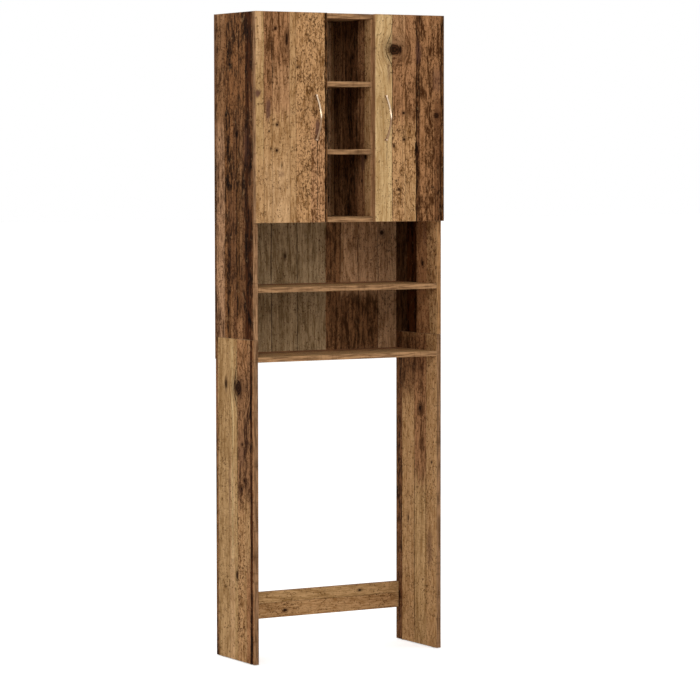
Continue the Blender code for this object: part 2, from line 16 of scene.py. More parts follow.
import bpy
import numpy as np
from mathutils import Euler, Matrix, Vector


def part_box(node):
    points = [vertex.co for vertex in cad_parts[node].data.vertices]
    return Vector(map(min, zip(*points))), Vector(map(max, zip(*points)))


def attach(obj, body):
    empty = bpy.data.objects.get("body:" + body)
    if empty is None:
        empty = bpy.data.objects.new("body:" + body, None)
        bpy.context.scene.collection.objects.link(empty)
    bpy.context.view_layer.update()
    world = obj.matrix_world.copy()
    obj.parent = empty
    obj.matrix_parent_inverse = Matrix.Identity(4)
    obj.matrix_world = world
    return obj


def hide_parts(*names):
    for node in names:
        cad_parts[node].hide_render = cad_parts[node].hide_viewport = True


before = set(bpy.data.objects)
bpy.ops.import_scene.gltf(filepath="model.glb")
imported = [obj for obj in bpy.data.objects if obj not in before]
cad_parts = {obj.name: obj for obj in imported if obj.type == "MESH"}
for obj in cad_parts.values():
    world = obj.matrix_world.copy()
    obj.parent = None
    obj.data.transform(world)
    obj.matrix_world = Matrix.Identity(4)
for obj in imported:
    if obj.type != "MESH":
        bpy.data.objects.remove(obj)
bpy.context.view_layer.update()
LOG = logging.getLogger("cabinet")

Grid = np.ndarray
Shell = tuple[Grid, Grid]
Colour = tuple[float, float, float, float]
Inputs = Sequence[object] | dict[int | str, object]
Group = Callable[[], bpy.types.NodeTree]
Given = SimpleNamespace

CLEAR: Colour = (0.0, 0.0, 0.0, 1.0)
WHITE: Colour = (1.0, 1.0, 1.0, 1.0)

# The places of the factor and the two colours among a Mix node's inputs, and of the colour among its outputs
MIX_FACTOR, MIX_FIRST, MIX_SECOND = 0, 6, 7
MIX_RESULT = 2


class Axis(Enum):
    """An axis of the cabinet's frame, by its place in a vector."""

    X = 0
    Y = 1
    Z = 2


class Hand(Enum):
    """A side of the cabinet, by the way it lies along X."""

    LEFT = -1
    RIGHT = 1

    @property
    def word(self) -> str:
        """The side's name in the nodes' names."""
        return self.name.lower()


class Recess(Enum):
    """What is sunk into a fastener's head."""

    NONE = 0
    CROSS = 1


def linear(code: str) -> Colour:
    """Turn a screen colour of six hex digits into the linear one that shaders use, by the sRGB curve."""
    shares = [int(code[place:place + 2], 16) / 255 for place in (0, 2, 4)]
    return *(c / 12.92 if c <= 0.04045 else ((c + 0.055) / 1.055) ** 2.4 for c in shares), 1.0


class Term:
    """A node's output as a value to work with: each sign and each method adds one node."""

    def __init__(self, graph: "Graph", socket: bpy.types.NodeSocket) -> None:
        """Keep the graph and the output."""
        self.graph = graph
        self.socket = socket

    def math(self, operation: str, *others: object, clamp: bool = False) -> "Term":
        """A Math node's result."""
        return self.graph.new("Math", (self, *others), operation=operation, use_clamp=clamp)

    def __add__(self, other: "Value") -> "Term":
        """The sum."""
        return self.math("ADD", other)

    def __sub__(self, other: "Value") -> "Term":
        """The difference."""
        return self.math("SUBTRACT", other)

    def __mul__(self, other: object) -> "Term":
        """The product."""
        return self.math("MULTIPLY", other)

    def __truediv__(self, other: "Value") -> "Term":
        """The quotient."""
        return self.math("DIVIDE", other)

    def __abs__(self) -> "Term":
        """The size without its sign."""
        return self.math("ABSOLUTE")

    def least(self, other: "Value") -> "Term":
        """The lesser of two."""
        return self.math("MINIMUM", other)

    def most(self, other: "Value") -> "Term":
        """The greater of two."""
        return self.math("MAXIMUM", other)

    def scaled(self, factor: "Value", offset: "Value", clamp: bool = False) -> "Term":
        """The value times a factor, plus an offset."""
        return self.math("MULTIPLY_ADD", factor, offset, clamp=clamp)

    def spread(self, low: "Value", high: "Value", first: float = 0.0, last: float = 1.0) -> "Term":
        """Turn the stretch from low to high into first to last, smoothly and no further."""
        return self.graph.new("MapRange", (self, low, high, first, last), interpolation_type="SMOOTHSTEP")

    def blend(self, first: object, second: object) -> "Term":
        """The colour that lies this far on from the first to the second."""
        given = {MIX_FACTOR: self, MIX_FIRST: first, MIX_SECOND: second}
        return Term(self.graph, self.graph.add("Mix", given, data_type="RGBA").outputs[MIX_RESULT])

    def split(self) -> tuple["Term", ...]:
        """The three values of a vector or a colour."""
        return tuple(Term(self.graph, socket) for socket in self.graph.add("SeparateXYZ", (self,)).outputs)

    def ramp(self, stops: Sequence[tuple[float, Colour]]) -> "Term":
        """A Color Ramp's colour.

        Args:
            stops: Places from 0 to 1, and the colours there.

        Returns:
            The colour at this value.
        """
        made = self.graph.add("ValToRGB", (self,))
        elements = made.color_ramp.elements
        elements.remove(elements[1])
        for index, (place, colour) in enumerate(stops):
            element = elements[0] if index == 0 else elements.new(place)
            element.position = place
            element.color = colour
        return Term(self.graph, made.outputs[0])


Value = Term | float
Outcome = dict[str, Term]


class Place(Term):
    """A vector that a node puts out, such as the place that a pattern is drawn at."""

    def math(self, operation: str, *others: object) -> "Place":
        """A Vector Math node's vector."""
        return Place(self.graph, self.graph.new("VectorMath", (self, *others), operation=operation).socket)

    def length(self) -> Term:
        """The vector's length."""
        return Term(self.graph, self.graph.add("VectorMath", (self,), operation="LENGTH").outputs["Value"])

    def noise(self, scale: Value, detail: float, roughness: float) -> Term:
        """A Noise Texture's value at the place, about 0.5 on average."""
        given = {"Vector": self, "Scale": scale, "Detail": detail, "Roughness": roughness}
        return self.graph.new("TexNoise", given)


class Graph:
    """A node tree that is being written."""

    def __init__(self, tree: bpy.types.NodeTree) -> None:
        """Keep the tree and empty it."""
        self.tree = tree
        tree.nodes.clear()

    def add(self, kind: str, given: Inputs = (), **settings: object) -> bpy.types.Node:
        """Add a node.

        Args:
            kind: The node's type after "ShaderNode".
            given: Terms or constants for its inputs, in order or by name. A string is a screen colour.
            **settings: Values of its own properties.

        Returns:
            The node.
        """
        made = self.tree.nodes.new("ShaderNode" + kind)
        for name, value in settings.items():
            setattr(made, name, value)
        for key, value in (given if isinstance(given, dict) else dict(enumerate(given))).items():
            if isinstance(value, Term):
                self.tree.links.new(value.socket, made.inputs[key])
            else:
                made.inputs[key].default_value = linear(value) if isinstance(value, str) else value
        return made

    def new(self, kind: str, given: Inputs = (), **settings: object) -> Term:
        """Add a node and take its first output."""
        return Term(self, self.add(kind, given, **settings).outputs[0])

    def point(self, *values: Value) -> Place:
        """Three values as one vector."""
        return Place(self, self.new("CombineXYZ", values).socket)

    def source(self) -> tuple[Place, Place]:
        """The point on the object's own axes, and the surface's normal there."""
        outputs = self.add("TexCoord").outputs
        return Place(self, outputs["Object"]), Place(self, outputs["Normal"])

    def use(self, group: Group, **given: object) -> Given:
        """Place a node group.

        Args:
            group: Gives the group.
            **given: Its inputs by name.

        Returns:
            Its outputs by name.
        """
        made = self.add("Group", given, node_tree=group())
        return Given(**{socket.name: Term(self, socket) for socket in made.outputs})

    def finish(self, height: Term, strength: float, distance: float, given: dict[str, object]) -> None:
        """End a material with its shader.

        Args:
            height: What the bump draws on the surface.
            strength: How much of the bump shows.
            distance: The height of a bump of 1.
            given: The Principled shader's other inputs.
        """
        normal = self.new("Bump", {"Strength": strength, "Distance": distance, "Height": height})
        self.add("OutputMaterial", (self.new("BsdfPrincipled", given | {"Normal": normal}),))


def written(name: str, write: Callable[[Graph], None]) -> bpy.types.Material:
    """Give a material by its name, written by a function when it is first asked for.

    Args:
        name: The material's name.
        write: Writes its nodes.

    Returns:
        The material.
    """
    made = bpy.data.materials.get(name)
    if made is None:
        made = bpy.data.materials.new(name)
        made.use_nodes = True
        write(Graph(made.node_tree))
    return made


def shared(**inputs: float | tuple[float, float, float]) -> Callable[[Callable], Group]:
    """Turn a function that draws on a graph into one that gives a node group, built once.

    Args:
        **inputs: Each input's name and its usual value, a number, or a triple for a vector.

    Returns:
        The decorator of a function that takes the graph and the inputs, and gives back the outputs.
    """

    def decorate(write: Callable[[Graph, Given], Outcome]) -> Group:
        """Wrap one function.

        Args:
            write: The function.

        Returns:
            What gives its group.
        """

        def group() -> bpy.types.NodeTree:
            """Find the group or build it.

            Returns:
                The group.
            """
            tree = bpy.data.node_groups.get(write.__name__)
            if tree is not None:
                return tree
            tree = bpy.data.node_groups.new(write.__name__, "ShaderNodeTree")
            graph = Graph(tree)
            entry = tree.nodes.new("NodeGroupInput")
            given = {}
            for name, usual in inputs.items():
                vector = isinstance(usual, tuple)
                kind = "NodeSocketVector" if vector else "NodeSocketFloat"
                tree.interface.new_socket(name=name, in_out="INPUT", socket_type=kind).default_value = usual
                given[name] = (Place if vector else Term)(graph, entry.outputs[name])
            outcome = write(graph, Given(**given))
            for name in outcome:
                tree.interface.new_socket(name=name, in_out="OUTPUT", socket_type="NodeSocketFloat")
            end = tree.nodes.new("NodeGroupOutput")
            for name, term in outcome.items():
                tree.links.new(term.socket, end.inputs[name])
            return tree

        return group

    return decorate


@shared(low=(0, 0, 0), high=(0, 0, 0))
def box_distances(graph: Graph, given: Given) -> Outcome:
    """How far a point lies from a board's faces and edges.

    Each axis gives the distance to the nearer of its two faces. The smallest of the three is the
    depth below the surface, and the middle one is the distance to the nearest edge.

    Args:
        graph: The group's graph.
        given: Its inputs.

    Returns:
        Both distances.
    """
    place, _ = graph.source()
    x, y, z = (place - given.low).least(given.high - place).split()
    return dict(depth=x.least(y).least(z), edge_distance=x.least(y).most(x.most(y).least(z)))


@shared(across=0.0, along=0.0, thin=0.0, seed=0.0)
def plank_fibre(graph: Graph, given: Given) -> Outcome:
    """A plank's grain: broad streaks, fibres, weathering, growth lines and blotches.

    All are noise squeezed across the grain and drawn out along it, the weathering least. The growth
    lines are a sine of slow noise, so they close into long ovals.

    Args:
        graph: The group's graph.
        given: Its inputs.

    Returns:
        The five, each from 0 to 1.
    """

    def grain(across: float, along: float, detail: float, roughness: float) -> Term:
        """Noise at the point, scaled across and along the grain, and moved on by the seed."""
        return graph.point(given.across * across, given.thin.scaled(across, given.seed),
                           given.along.scaled(along, given.seed)).noise(1.0, detail, roughness)

    return dict(
        streak=grain(70.0, 2.6, 5.0, 0.62).spread(0.34, 0.66),
        fibre=grain(520.0, 9.0, 4.0, 0.70).spread(0.32, 0.68),
        weathering=grain(190.0, 34.0, 4.0, 0.72).spread(0.36, 0.64),
        lines=(grain(11.0, 1.3, 1.5, 0.4) * 62.0).math("SINE").spread(0.25, 1.0),
        blotches=grain(46.0, 17.0, 3.0, 0.62).spread(0.34, 0.66),
    )


OVAL_INPUTS = dict(across=0.0, along=0.0, centre_across=0.0, centre_along=0.0,
                   half_across=0.01, half_along=0.01)


def oval(graph: Graph, given: Given) -> tuple[Term, Term]:
    """Distance from an oval's centre in half widths, and the signed distance across it.

    Args:
        graph: The group's graph.
        given: Its inputs.

    Returns:
        Both distances.
    """
    across = (given.across - given.centre_across) / given.half_across
    along = (given.along - given.centre_along) / given.half_along
    return graph.point(across, along, 0.0).length(), across


@shared(**OVAL_INPUTS)
def knot_mark(graph: Graph, given: Given) -> Outcome:
    """A knot: its core, the dark ring round it, and how it pushes the grain aside.

    The push is the distance across times a bell curve of the distance from the centre, so fibres
    part before the knot and close behind it.

    Args:
        graph: The group's graph.
        given: Its inputs.

    Returns:
        Masks of its parts, and the push in metres.
    """
    reach, across = oval(graph, given)
    rough = graph.point(across, reach, given.centre_along).noise(1.7, 4.0, 0.6)
    ragged = reach + rough.scaled(1.3, -0.65)
    bell = (reach * reach * -0.22).math("EXPONENT")
    return dict(
        core=ragged.spread(1.05, 0.70),
        halo=ragged.spread(2.6, 0.8),
        rings=(ragged * 17.0).math("SINE").spread(-0.4, 1.0),
        push=across * bell * given.half_across,
    )


@shared(**OVAL_INPUTS)
def smudge_mark(graph: Graph, given: Given) -> Outcome:
    """A soft stain with a streaky edge, longer along the grain.

    Args:
        graph: The group's graph.
        given: Its inputs.

    Returns:
        Its mask.
    """
    reach, _ = oval(graph, given)
    rough = graph.point(given.across * 160.0, given.along * 34.0, 0.0).noise(1.0, 4.0, 0.65)
    return dict(mask=(reach + rough.scaled(1.5, -0.75)).spread(1.15, 0.35))


@shared(across=0.0, along=0.0, low_across=0.0, high_across=0.0, low_along=0.0, high_along=0.0, fade=0.05)
def stretch_mark(graph: Graph, given: Given) -> Outcome:
    """A stretch of plank, with crisp edges across the grain and ragged ends along it.

    Args:
        graph: The group's graph.
        given: Its inputs.

    Returns:
        Its mask.
    """
    rough = graph.point(given.across * 190.0, given.along * 9.0, 0.0).noise(1.0, 4.0, 0.7)
    along = (rough - 0.5).scaled(given.fade, given.along)
    half = given.fade * 0.22
    after_start = along.spread(given.low_along - half, given.low_along + half)
    before_end = along.spread(given.high_along + half, given.high_along - half)
    inside = given.across.math("GREATER_THAN", given.low_across)
    inside = inside * given.across.math("LESS_THAN", given.high_across)
    return dict(mask=inside * (after_start * before_end))


@shared(across=0.0, along=0.0, centre=0.0, low=0.0, high=0.0, wide=0.002)
def split_mark(graph: Graph, given: Given) -> Outcome:
    """A dry split: a thin line that wanders along the grain and thins out.

    Args:
        graph: The group's graph.
        given: Its inputs.

    Returns:
        Its mask.
    """
    wander = graph.point(given.centre, given.along, 0.0).noise(13.0, 3.0, 0.55)
    swell = graph.point(given.along, given.centre, 3.0).noise(48.0, 3.0, 0.6)
    line = (wander - 0.5).scaled(0.012, given.centre)
    wide = given.wide * swell.spread(0.30, 0.72, 0.22, 1.0)
    body = abs(given.across - line).spread(wide, wide * 0.35)
    middle = (given.low + given.high) * 0.5
    away = abs(given.along - middle) / ((given.high - given.low) * 0.5)
    return dict(mask=body * away.spread(1.0, 0.92))


@shared(across=0.0, along=0.0, seed=0.0, density=0.5)
def fleck_marks(graph: Graph, given: Given) -> Outcome:
    """Dark flecks, pale chips, worm holes and faint saw marks over planks.

    Flecks are the peaks of coarse noise, and the curls where a second noise passes its middle value.

    Args:
        graph: The group's graph.
        given: Its inputs.

    Returns:
        A mask of each.
    """
    place = graph.point(given.across, given.along, given.seed)
    coarse = (place * (190.0, 118.0, 1.0)).noise(1.0, 3.0, 0.62)
    curl = (place * (125.0, 100.0, 5.0)).noise(1.0, 1.0, 0.5)
    chips = (place * (150.0, 46.0, 7.0)).noise(1.0, 4.0, 0.66)
    saw = (place * (42.0, 230.0, 1.0)).noise(1.0, 3.0, 0.65)
    level = given.density.scaled(-0.10, place.noise(13.0, 2.0, 0.6).spread(0.30, 0.70).scaled(-0.09, 0.70))
    strokes = abs(curl - 0.5).spread(0.060, 0.015) * coarse.spread(level - 0.12, level - 0.04) * 0.85
    cells = graph.add("TexVoronoi", {"Vector": place, "Scale": 34.0}, feature="F1").outputs
    chosen = Term(graph, cells["Color"]).split()[0].math("GREATER_THAN", 0.86)
    holes = chosen * Term(graph, cells["Distance"]).spread(0.055, 0.030)
    return dict(
        flecks=strokes.most(coarse.spread(level + 0.02, level + 0.07)),
        chips=chips.spread(0.58, 0.68) * given.density,
        holes=holes * given.density.spread(0.1, 0.6),
        saw=saw.spread(0.48, 0.72) * place.noise(5.0, 2.0, 0.5).spread(0.46, 0.62),
    )


@shared(edge_distance=0.0, reach=0.002)
def edge_wear(graph: Graph, given: Given) -> Outcome:
    """Where an edge has been rubbed: near it, and only where noise allows.

    Args:
        graph: The group's graph.
        given: Its inputs.

    Returns:
        Its mask.
    """
    place, _ = graph.source()
    allowed = place.noise(16.0, 3.0, 0.6).spread(0.42, 0.66) * place.noise(260.0, 4.0, 0.7).spread(0.30, 0.60)
    return dict(mask=given.edge_distance.spread(given.reach, 0.0) * allowed)


@shared(amount=0.1)
def dust_film(graph: Graph, given: Given) -> Outcome:
    """A thin film of dust on what faces up.

    Args:
        graph: The group's graph.
        given: Its inputs.

    Returns:
        Its mask.
    """
    place, normal = graph.source()
    film = place.noise(24.0, 5.0, 0.6).spread(0.30, 0.80) + place.noise(900.0, 2.0, 0.6).spread(0.66, 0.76)
    return dict(mask=normal.split()[2].spread(0.6, 0.95) * (film * given.amount))


@shared(scale=90.0)
def metal_surface(graph: Graph, given: Given) -> Outcome:
    """Hairline scratches, smudges and grime on metal and plastic.

    Args:
        graph: The group's graph.
        given: Its inputs.

    Returns:
        A mask of each.
    """
    place, _ = graph.source()
    upright = (place * (2600.0, 2600.0, 60.0)).noise(1.0, 2.0, 0.7)
    level = (place * (240.0, 300.0, 3400.0)).noise(1.0, 2.0, 0.7)
    return dict(
        hairs=upright.spread(0.60, 0.78).most(level.spread(0.64, 0.80)),
        smudges=place.noise(given.scale, 4.0, 0.6).spread(0.40, 0.72),
        grime=place.noise(700.0, 3.0, 0.65).spread(0.55, 0.80),
    )


@dataclass(frozen=True)
class Tone:
    """A wood's palest and darkest fibres as screen colours, and how flecked and streaky it is, 0 to 1."""

    light: str
    dark: str
    flecks: float = 0.2
    streaks: float = 1.0

    @property
    def columns(self) -> tuple[Colour, Colour, Colour]:
        """Both colours, and both amounts as a third."""
        return linear(self.light), linear(self.dark), (self.flecks, self.streaks, 0.0, 1.0)


class Wood(Enum):
    """The kinds of old wood that the print shows."""

    CREAM = Tone("e0bd89", "ac8656", 0.0, 0.7)
    HONEY = Tone("d8ad7e", "a37b50", 0.1, 0.6)
    PALE = Tone("c8a16f", "997145", 0.15, 0.5)
    TAN = Tone("c4996a", "8f663c", 0.45, 0.35)
    TAN_FLECKED = Tone("c69767", "805831", 1.0, 0.35)
    GOLD = Tone("cba271", "926d42", 0.2, 0.8)
    FAWN = Tone("bf8f64", "7a5434", 0.5, 0.5)
    BURR = Tone("c49266", "704929", 1.0, 0.6)
    ROSE = Tone("b78459", "6f4727", 0.4, 0.6)
    PLUM = Tone("ab7a52", "59381f", 0.6)
    BROWN = Tone("966a45", "452a16", 0.7)
    UMBER = Tone("7a5133", "190a04", 0.8)
    HUSK = Tone("8e5f3a", "0d0401", 1.0)
    CHAFF = Tone("bf9069", "462a18", 0.35)
    RUSSET = Tone("a0714a", "41240f", 1.0)
    RUST = Tone("a5764f", "3c2214", 0.6, 0.9)
    BARK = Tone("6f492a", "0f0501", 0.9)
    COAL = Tone("4e2a14", "0c0301", 0.5)
    ASH = Tone("bda07a", "79603f", 0.25, 0.8)
    MAUVE = Tone("d2a57b", "8b6441", 0.4)
    SOOT = Tone("563b25", "180c05", 0.4)
    SMOKE = Tone("6b4b31", "2a180d", 0.4, 0.6)
    TAPE = Tone("c3956c", "462b18", 0.6)
    TAPE_GOLD = Tone("c5976b", "4e331e", 0.5)
    TAPE_WARM = Tone("c19060", "4a2e17", 0.5)
    TAPE_DARK = Tone("ae845f", "3c2413", 0.6)


@dataclass(frozen=True)
class Mark:
    """Something that is printed on a board. Its lengths are in millimetres."""

    def metres(self) -> dict[str, float]:
        """Its lengths in metres, by name."""
        return {name: value / 1000 for name, value in vars(self).items() if name not in ("wood", "strength")}


@dataclass(frozen=True)
class Plank(Mark):
    """One plank of a print, up to a distance from the board's low edge across the grain."""

    until: float
    wood: Wood


@dataclass(frozen=True)
class Stretch(Mark):
    """Part of the planks in another wood, from a low corner to a high one, with ragged ends."""

    low_across: float
    low_along: float
    high_across: float
    high_along: float
    wood: Wood
    fade: float


@dataclass(frozen=True)
class Oval(Mark):
    """The place of a knot or a stain on a board, and its half sizes, across and along the grain."""

    centre_across: float
    centre_along: float
    half_across: float
    half_along: float
    strength: float = 1.0


@dataclass(frozen=True)
class Split(Mark):
    """A dry split: where it lies across the grain, its stretch along it, and its greatest width."""

    centre: float
    low: float
    high: float
    wide: float


def rows(kind: type, *values: tuple) -> tuple:
    """One of a kind for each row of its values."""
    return tuple(kind(*row) for row in values)


@dataclass(frozen=True)
class Layer:
    """A colour that marks lay over the print, and how much of it they lay on."""

    tone: str
    share: float

    def over(self, colour: Term, mask: Term, strength: float = 1.0) -> Term:
        """The colour with this one laid over it where the mask is."""
        return (mask * (self.share * strength)).blend(colour, self.tone)


SAW_MARK = Layer("41240f", 0.30)
CHIP = Layer("b58c62", 0.42)
FLECK = Layer("41240f", 0.80)
TAPE_FLECK = Layer("41240f", 0.50)
JOINT = Layer("1a0e07", 0.75)
STAIN = Layer("5f3f34", 0.60)
KNOT_HALO = Layer("3c2213", 0.55)
GLUE = Layer("4a3220", 0.45)
RUBBED = Layer("c2a27c", 0.34)

# Shares: of a knot's core that is dark, of dust, and how deep flecks and cores are beside splits
KNOT_CORE = 0.96
DUSTY = 0.10
FLECK_DEEP = 0.5
CORE_DEEP = 0.6

KNOT_DARK = "160b05"
KNOT_RED = "3c2213"
SPLIT_DARK = "1a0e07"
RAW_LIGHT = "c6a06c"
RAW_DARK = "8d6639"
HARDBOARD_LIGHT = "8a6142"
HARDBOARD_DARK = "674327"
DUST = "b9aea0"

# Half widths of the line between planks, and of the change from one to the next, in millimetres
JOINT_HALF = 1.1
CHANGE_HALF = 0.4

# How deep the print goes, how near an edge the glue shows, and how far in an edge is rubbed
PRINT_DEPTH = (0.0008, 0.0012)
GLUE_REACH = (0.0011, 0.0004)
WEAR_REACH = 0.0026


@dataclass(frozen=True)
class OldWood:
    """The matt print of reclaimed planks on one board, with its edge tape and its raw bores.

    The planks' edges waver by about wavy, and grain and flecks are coarse times as wide as usual.
    A bump is how much of the relief shows, and its height.
    """

    planks: tuple[Plank, ...]
    stretches: tuple[Stretch, ...] = ()
    knots: tuple[Oval, ...] = ()
    stains: tuple[Oval, ...] = ()
    splits: tuple[Split, ...] = ()
    tape: Wood = Wood.TAPE
    wavy: float = 0.0015
    coarse: float = 1.0
    raw_back: bool = False
    across: Axis = Axis.Y
    along: Axis = Axis.Z
    sheen: float = 0.008
    bump: tuple[float, float] = (0.35, 0.0003)

    @property
    def thin(self) -> Axis:
        """The axis across the board's thickness."""
        return next(axis for axis in Axis if axis not in (self.across, self.along))

    def plank_colours(self, share: Term, width: float) -> tuple[Term, ...]:
        """The planks' tones at a place on the board.

        Args:
            share: The place across the grain, 0 to 1.
            width: The board's width in millimetres.

        Returns:
            The light tone, the dark tone, and the amounts of flecks and streaks as a colour's red and green.
        """
        blur = CHANGE_HALF / width
        columns: tuple[list, ...] = ([], [], [])
        start = 0.0
        for plank in self.planks:
            end = min(plank.until / width, 1.0)
            for column, colour in zip(columns, plank.wood.value.columns):
                column += [(max(start + blur, 0.0), colour), (max(end - blur, 0.0), colour)]
            start = end
        return tuple(share.ramp(column) for column in columns)

    def joint_lines(self, share: Term, width: float) -> Term:
        """A mask of the thin dark lines between planks.

        Args:
            share: The place across the grain, 0 to 1.
            width: The board's width in millimetres.

        Returns:
            The mask.
        """
        half = JOINT_HALF / width
        stops = [(0.0, CLEAR)]
        for plank in self.planks[:-1]:
            place = plank.until / width
            stops += [(place - half, CLEAR), (place, WHITE), (place + half, CLEAR)]
        return share.ramp(stops)

    def write(self, graph: Graph, low: Vector, high: Vector, seed: float) -> None:
        """Write the board's material.

        Args:
            graph: The material's graph.
            low: The board's lowest corner.
            high: Its highest corner.
            seed: A number that gives each board its own grain.
        """
        place, normal = graph.source()
        values = place.split()
        across, along = (values[axis.value] - low[axis.value] for axis in (self.across, self.along))
        thin = values[self.thin.value]
        facing = abs(normal.split()[self.thin.value])
        width = high[self.across.value] - low[self.across.value]

        # The knots part the grain, and the planks' edges waver
        wander = graph.point(seed, across, along).noise(7.0, 3.0, 0.6)
        jagged = graph.point(across, seed, along).noise(90.0, 2.0, 0.6)
        edge_line = across + (jagged - 0.5).scaled(self.wavy, (wander - 0.5) * (5 * self.wavy))
        knots = [graph.use(knot_mark, across=across, along=along, **knot.metres()) for knot in self.knots]
        parted = across
        for knot in knots:
            parted = parted - knot.push
        pushed = parted / self.coarse
        grain = graph.use(plank_fibre, across=pushed, along=along, thin=thin, seed=seed)

        # Planks, with their grain between a dark tone and a light one
        share = edge_line / width
        tones = self.plank_colours(share, 1000 * width)
        for patch in self.stretches:
            mask = graph.use(stretch_mark, across=edge_line, along=along, **patch.metres()).mask
            tones = [mask.blend(old, new) for old, new in zip(tones, patch.wood.value.columns)]
        light, dark, amounts = tones
        density, streaky, _ = amounts.split()
        streak = (grain.streak - 0.5).scaled(streaky, 0.5)
        pale = grain.fibre.scaled(0.24, streak * 0.30)
        pale = grain.weathering.scaled(density.scaled(0.30, 0.24), pale)
        pale = ((grain.blotches - 0.5) * density).scaled(0.34, pale)
        pale = (grain.lines * streaky).scaled(-0.20, pale + 0.08)
        colour = pale.spread(0.14, 0.82).blend(dark, light)

        # Marks on the planks, and how deep they are
        marks = graph.use(fleck_marks, across=pushed, along=along, seed=seed, density=density)
        layers = ((SAW_MARK, marks.saw), (CHIP, marks.chips), (FLECK, marks.flecks),
                  (JOINT, self.joint_lines(share, 1000 * width)))
        for layer, mask in layers:
            colour = layer.over(colour, mask)
        for stain in self.stains:
            mask = graph.use(smudge_mark, across=across, along=along, **stain.metres()).mask
            colour = STAIN.over(colour, mask, stain.strength)
        pits = (marks.flecks * FLECK_DEEP).most(marks.holes)
        colour = marks.holes.blend(colour, KNOT_DARK)
        for knot, mark in zip(self.knots, knots):
            colour = KNOT_HALO.over(colour, mark.halo, knot.strength)
            heart = mark.rings.blend(KNOT_DARK, KNOT_RED)
            colour = (mark.core * (KNOT_CORE * knot.strength)).blend(colour, heart)
            pits = pits.most(mark.core * CORE_DEEP)
        for split in self.splits:
            mask = graph.use(split_mark, across=parted, along=along, **split.metres()).mask
            colour = mask.blend(colour, SPLIT_DARK)
            pits = pits.most(mask)

        # Tape on the edges
        tape = self.tape.value
        spots = (graph.point(across, thin, along) * (170.0, 170.0, 15.0)).noise(1.0, 3.0, 0.62)
        mix = spots.spread(0.36, 0.64).scaled(0.56, grain.fibre.scaled(0.22, streak * 0.22))
        edge = TAPE_FLECK.over(mix.blend(tape.dark, tape.light), marks.flecks, tape.flecks)
        if self.raw_back:
            mottle = place.noise(9.0, 3.0, 0.5)
            felt = mottle.spread(0.3, 0.7).scaled(0.4, place.noise(380.0, 5.0, 0.75).spread(0.3, 0.7) * 0.6)
            edge = felt.blend(HARDBOARD_DARK, HARDBOARD_LIGHT)
            outward = normal.split()[Axis.Y.value].spread(0.2, 0.6)
            colour = outward.blend(colour, edge)
            pits = outward.blend(pits, graph.new("Math", (1.0, felt), operation="SUBTRACT"))
        bounds = graph.use(box_distances, low=tuple(low), high=tuple(high))
        glue = bounds.edge_distance.spread(*GLUE_REACH) * facing.spread(0.70, 0.95)
        colour = GLUE.over(colour, glue)
        colour = facing.spread(0.80, 0.60).blend(colour, edge)

        # Wear, raw board inside the bores, and dust
        rubbed = graph.use(edge_wear, edge_distance=bounds.edge_distance, reach=WEAR_REACH).mask
        colour = RUBBED.over(colour, rubbed)
        inside = bounds.depth.spread(*PRINT_DEPTH)
        crumbs = place.noise(900.0, 3.0, 0.7).spread(0.34, 0.66)
        colour = inside.blend(colour, crumbs.blend(RAW_DARK, RAW_LIGHT))
        colour = graph.use(dust_film, amount=DUSTY).mask.blend(colour, DUST)

        rough = rubbed.scaled(-0.08, pits.scaled(0.22, grain.fibre.scaled(0.10, 0.50)))
        rough = inside.scaled(0.25, rough, clamp=True)
        height = crumbs.scaled(inside, grain.fibre.scaled(0.30, pits * -1.0))
        shader = {"Base Color": colour, "Roughness": rough, "Specular IOR Level": self.sheen}
        graph.finish(height, *self.bump, shader)

    def dress(self, node: str, seed: float) -> None:
        """Give a board this print.

        Args:
            node: The board's node.
            seed: A number that gives the board its own grain.
        """
        low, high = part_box(node)
        coat(written("old_wood_" + node, lambda graph: self.write(graph, low, high, seed)), node)
        LOG.info("%s: %d planks, %d knots", node, len(self.planks), len(self.knots))


@dataclass(frozen=True)
class Metal:
    """A plated metal: its colours clean and dull, its roughness, and the size of its smudges.

    What faces left, right or down takes a painted reflection: a brownish colour that stands in for the wood
    and shade that a bar reflects there.
    Dulled and grimy are the shares of the dull colour in smudges and in grime.
    """

    name: str
    clean: str
    dull: str
    polish: float
    smudges: float = 90.0
    flank: str = ""
    dulled: float = 0.35
    grimy: float = 0.22
    bump: tuple[float, float] = (0.08, 0.00005)

    def write(self, graph: Graph) -> None:
        """Write the metal's nodes.

        Args:
            graph: The material's graph.
        """
        marks = graph.use(metal_surface, scale=self.smudges)
        colour = (marks.smudges * self.dulled).blend(self.clean, self.dull)
        colour = (marks.grime * self.grimy).blend(colour, self.dull)
        # Painted reflection: what faces sideways or down is tinted brownish, standing in for the wood and
        # shade that the bar reflects
        if self.flank:
            sideways, _, upward = graph.source()[1].split()
            below = (upward * -1.0).spread(-0.10, 0.10, 0.0, 0.92)
            colour = abs(sideways).spread(0.35, 0.80).most(below).blend(colour, self.flank)
        rough = marks.hairs.scaled(0.10, marks.smudges.scaled(0.10, self.polish))
        shader = {"Base Color": colour, "Metallic": 1.0, "Roughness": rough}
        graph.finish(marks.hairs, *self.bump, shader)


@dataclass(frozen=True)
class Plain:
    """A plastic or a bare wood: its two colours, its roughness, and how far its grain is drawn out."""

    name: str
    light: str
    dark: str
    roughness: float
    grain: tuple[float, float, float]
    smudges: float = 140.0
    grimy: float = 0.25
    bump: tuple[float, float] = (0.15, 0.0001)

    def write(self, graph: Graph) -> None:
        """Write the material's nodes.

        Args:
            graph: The material's graph.
        """
        place, _ = graph.source()
        grain = (place * self.grain).noise(1.0, 4.0, 0.65).spread(0.3, 0.7)
        marks = graph.use(metal_surface, scale=self.smudges)
        colour = (marks.grime * self.grimy).blend(grain.blend(self.dark, self.light), self.dark)
        rough = marks.smudges.scaled(0.12, self.roughness)
        graph.finish(grain, *self.bump, {"Base Color": colour, "Roughness": rough})
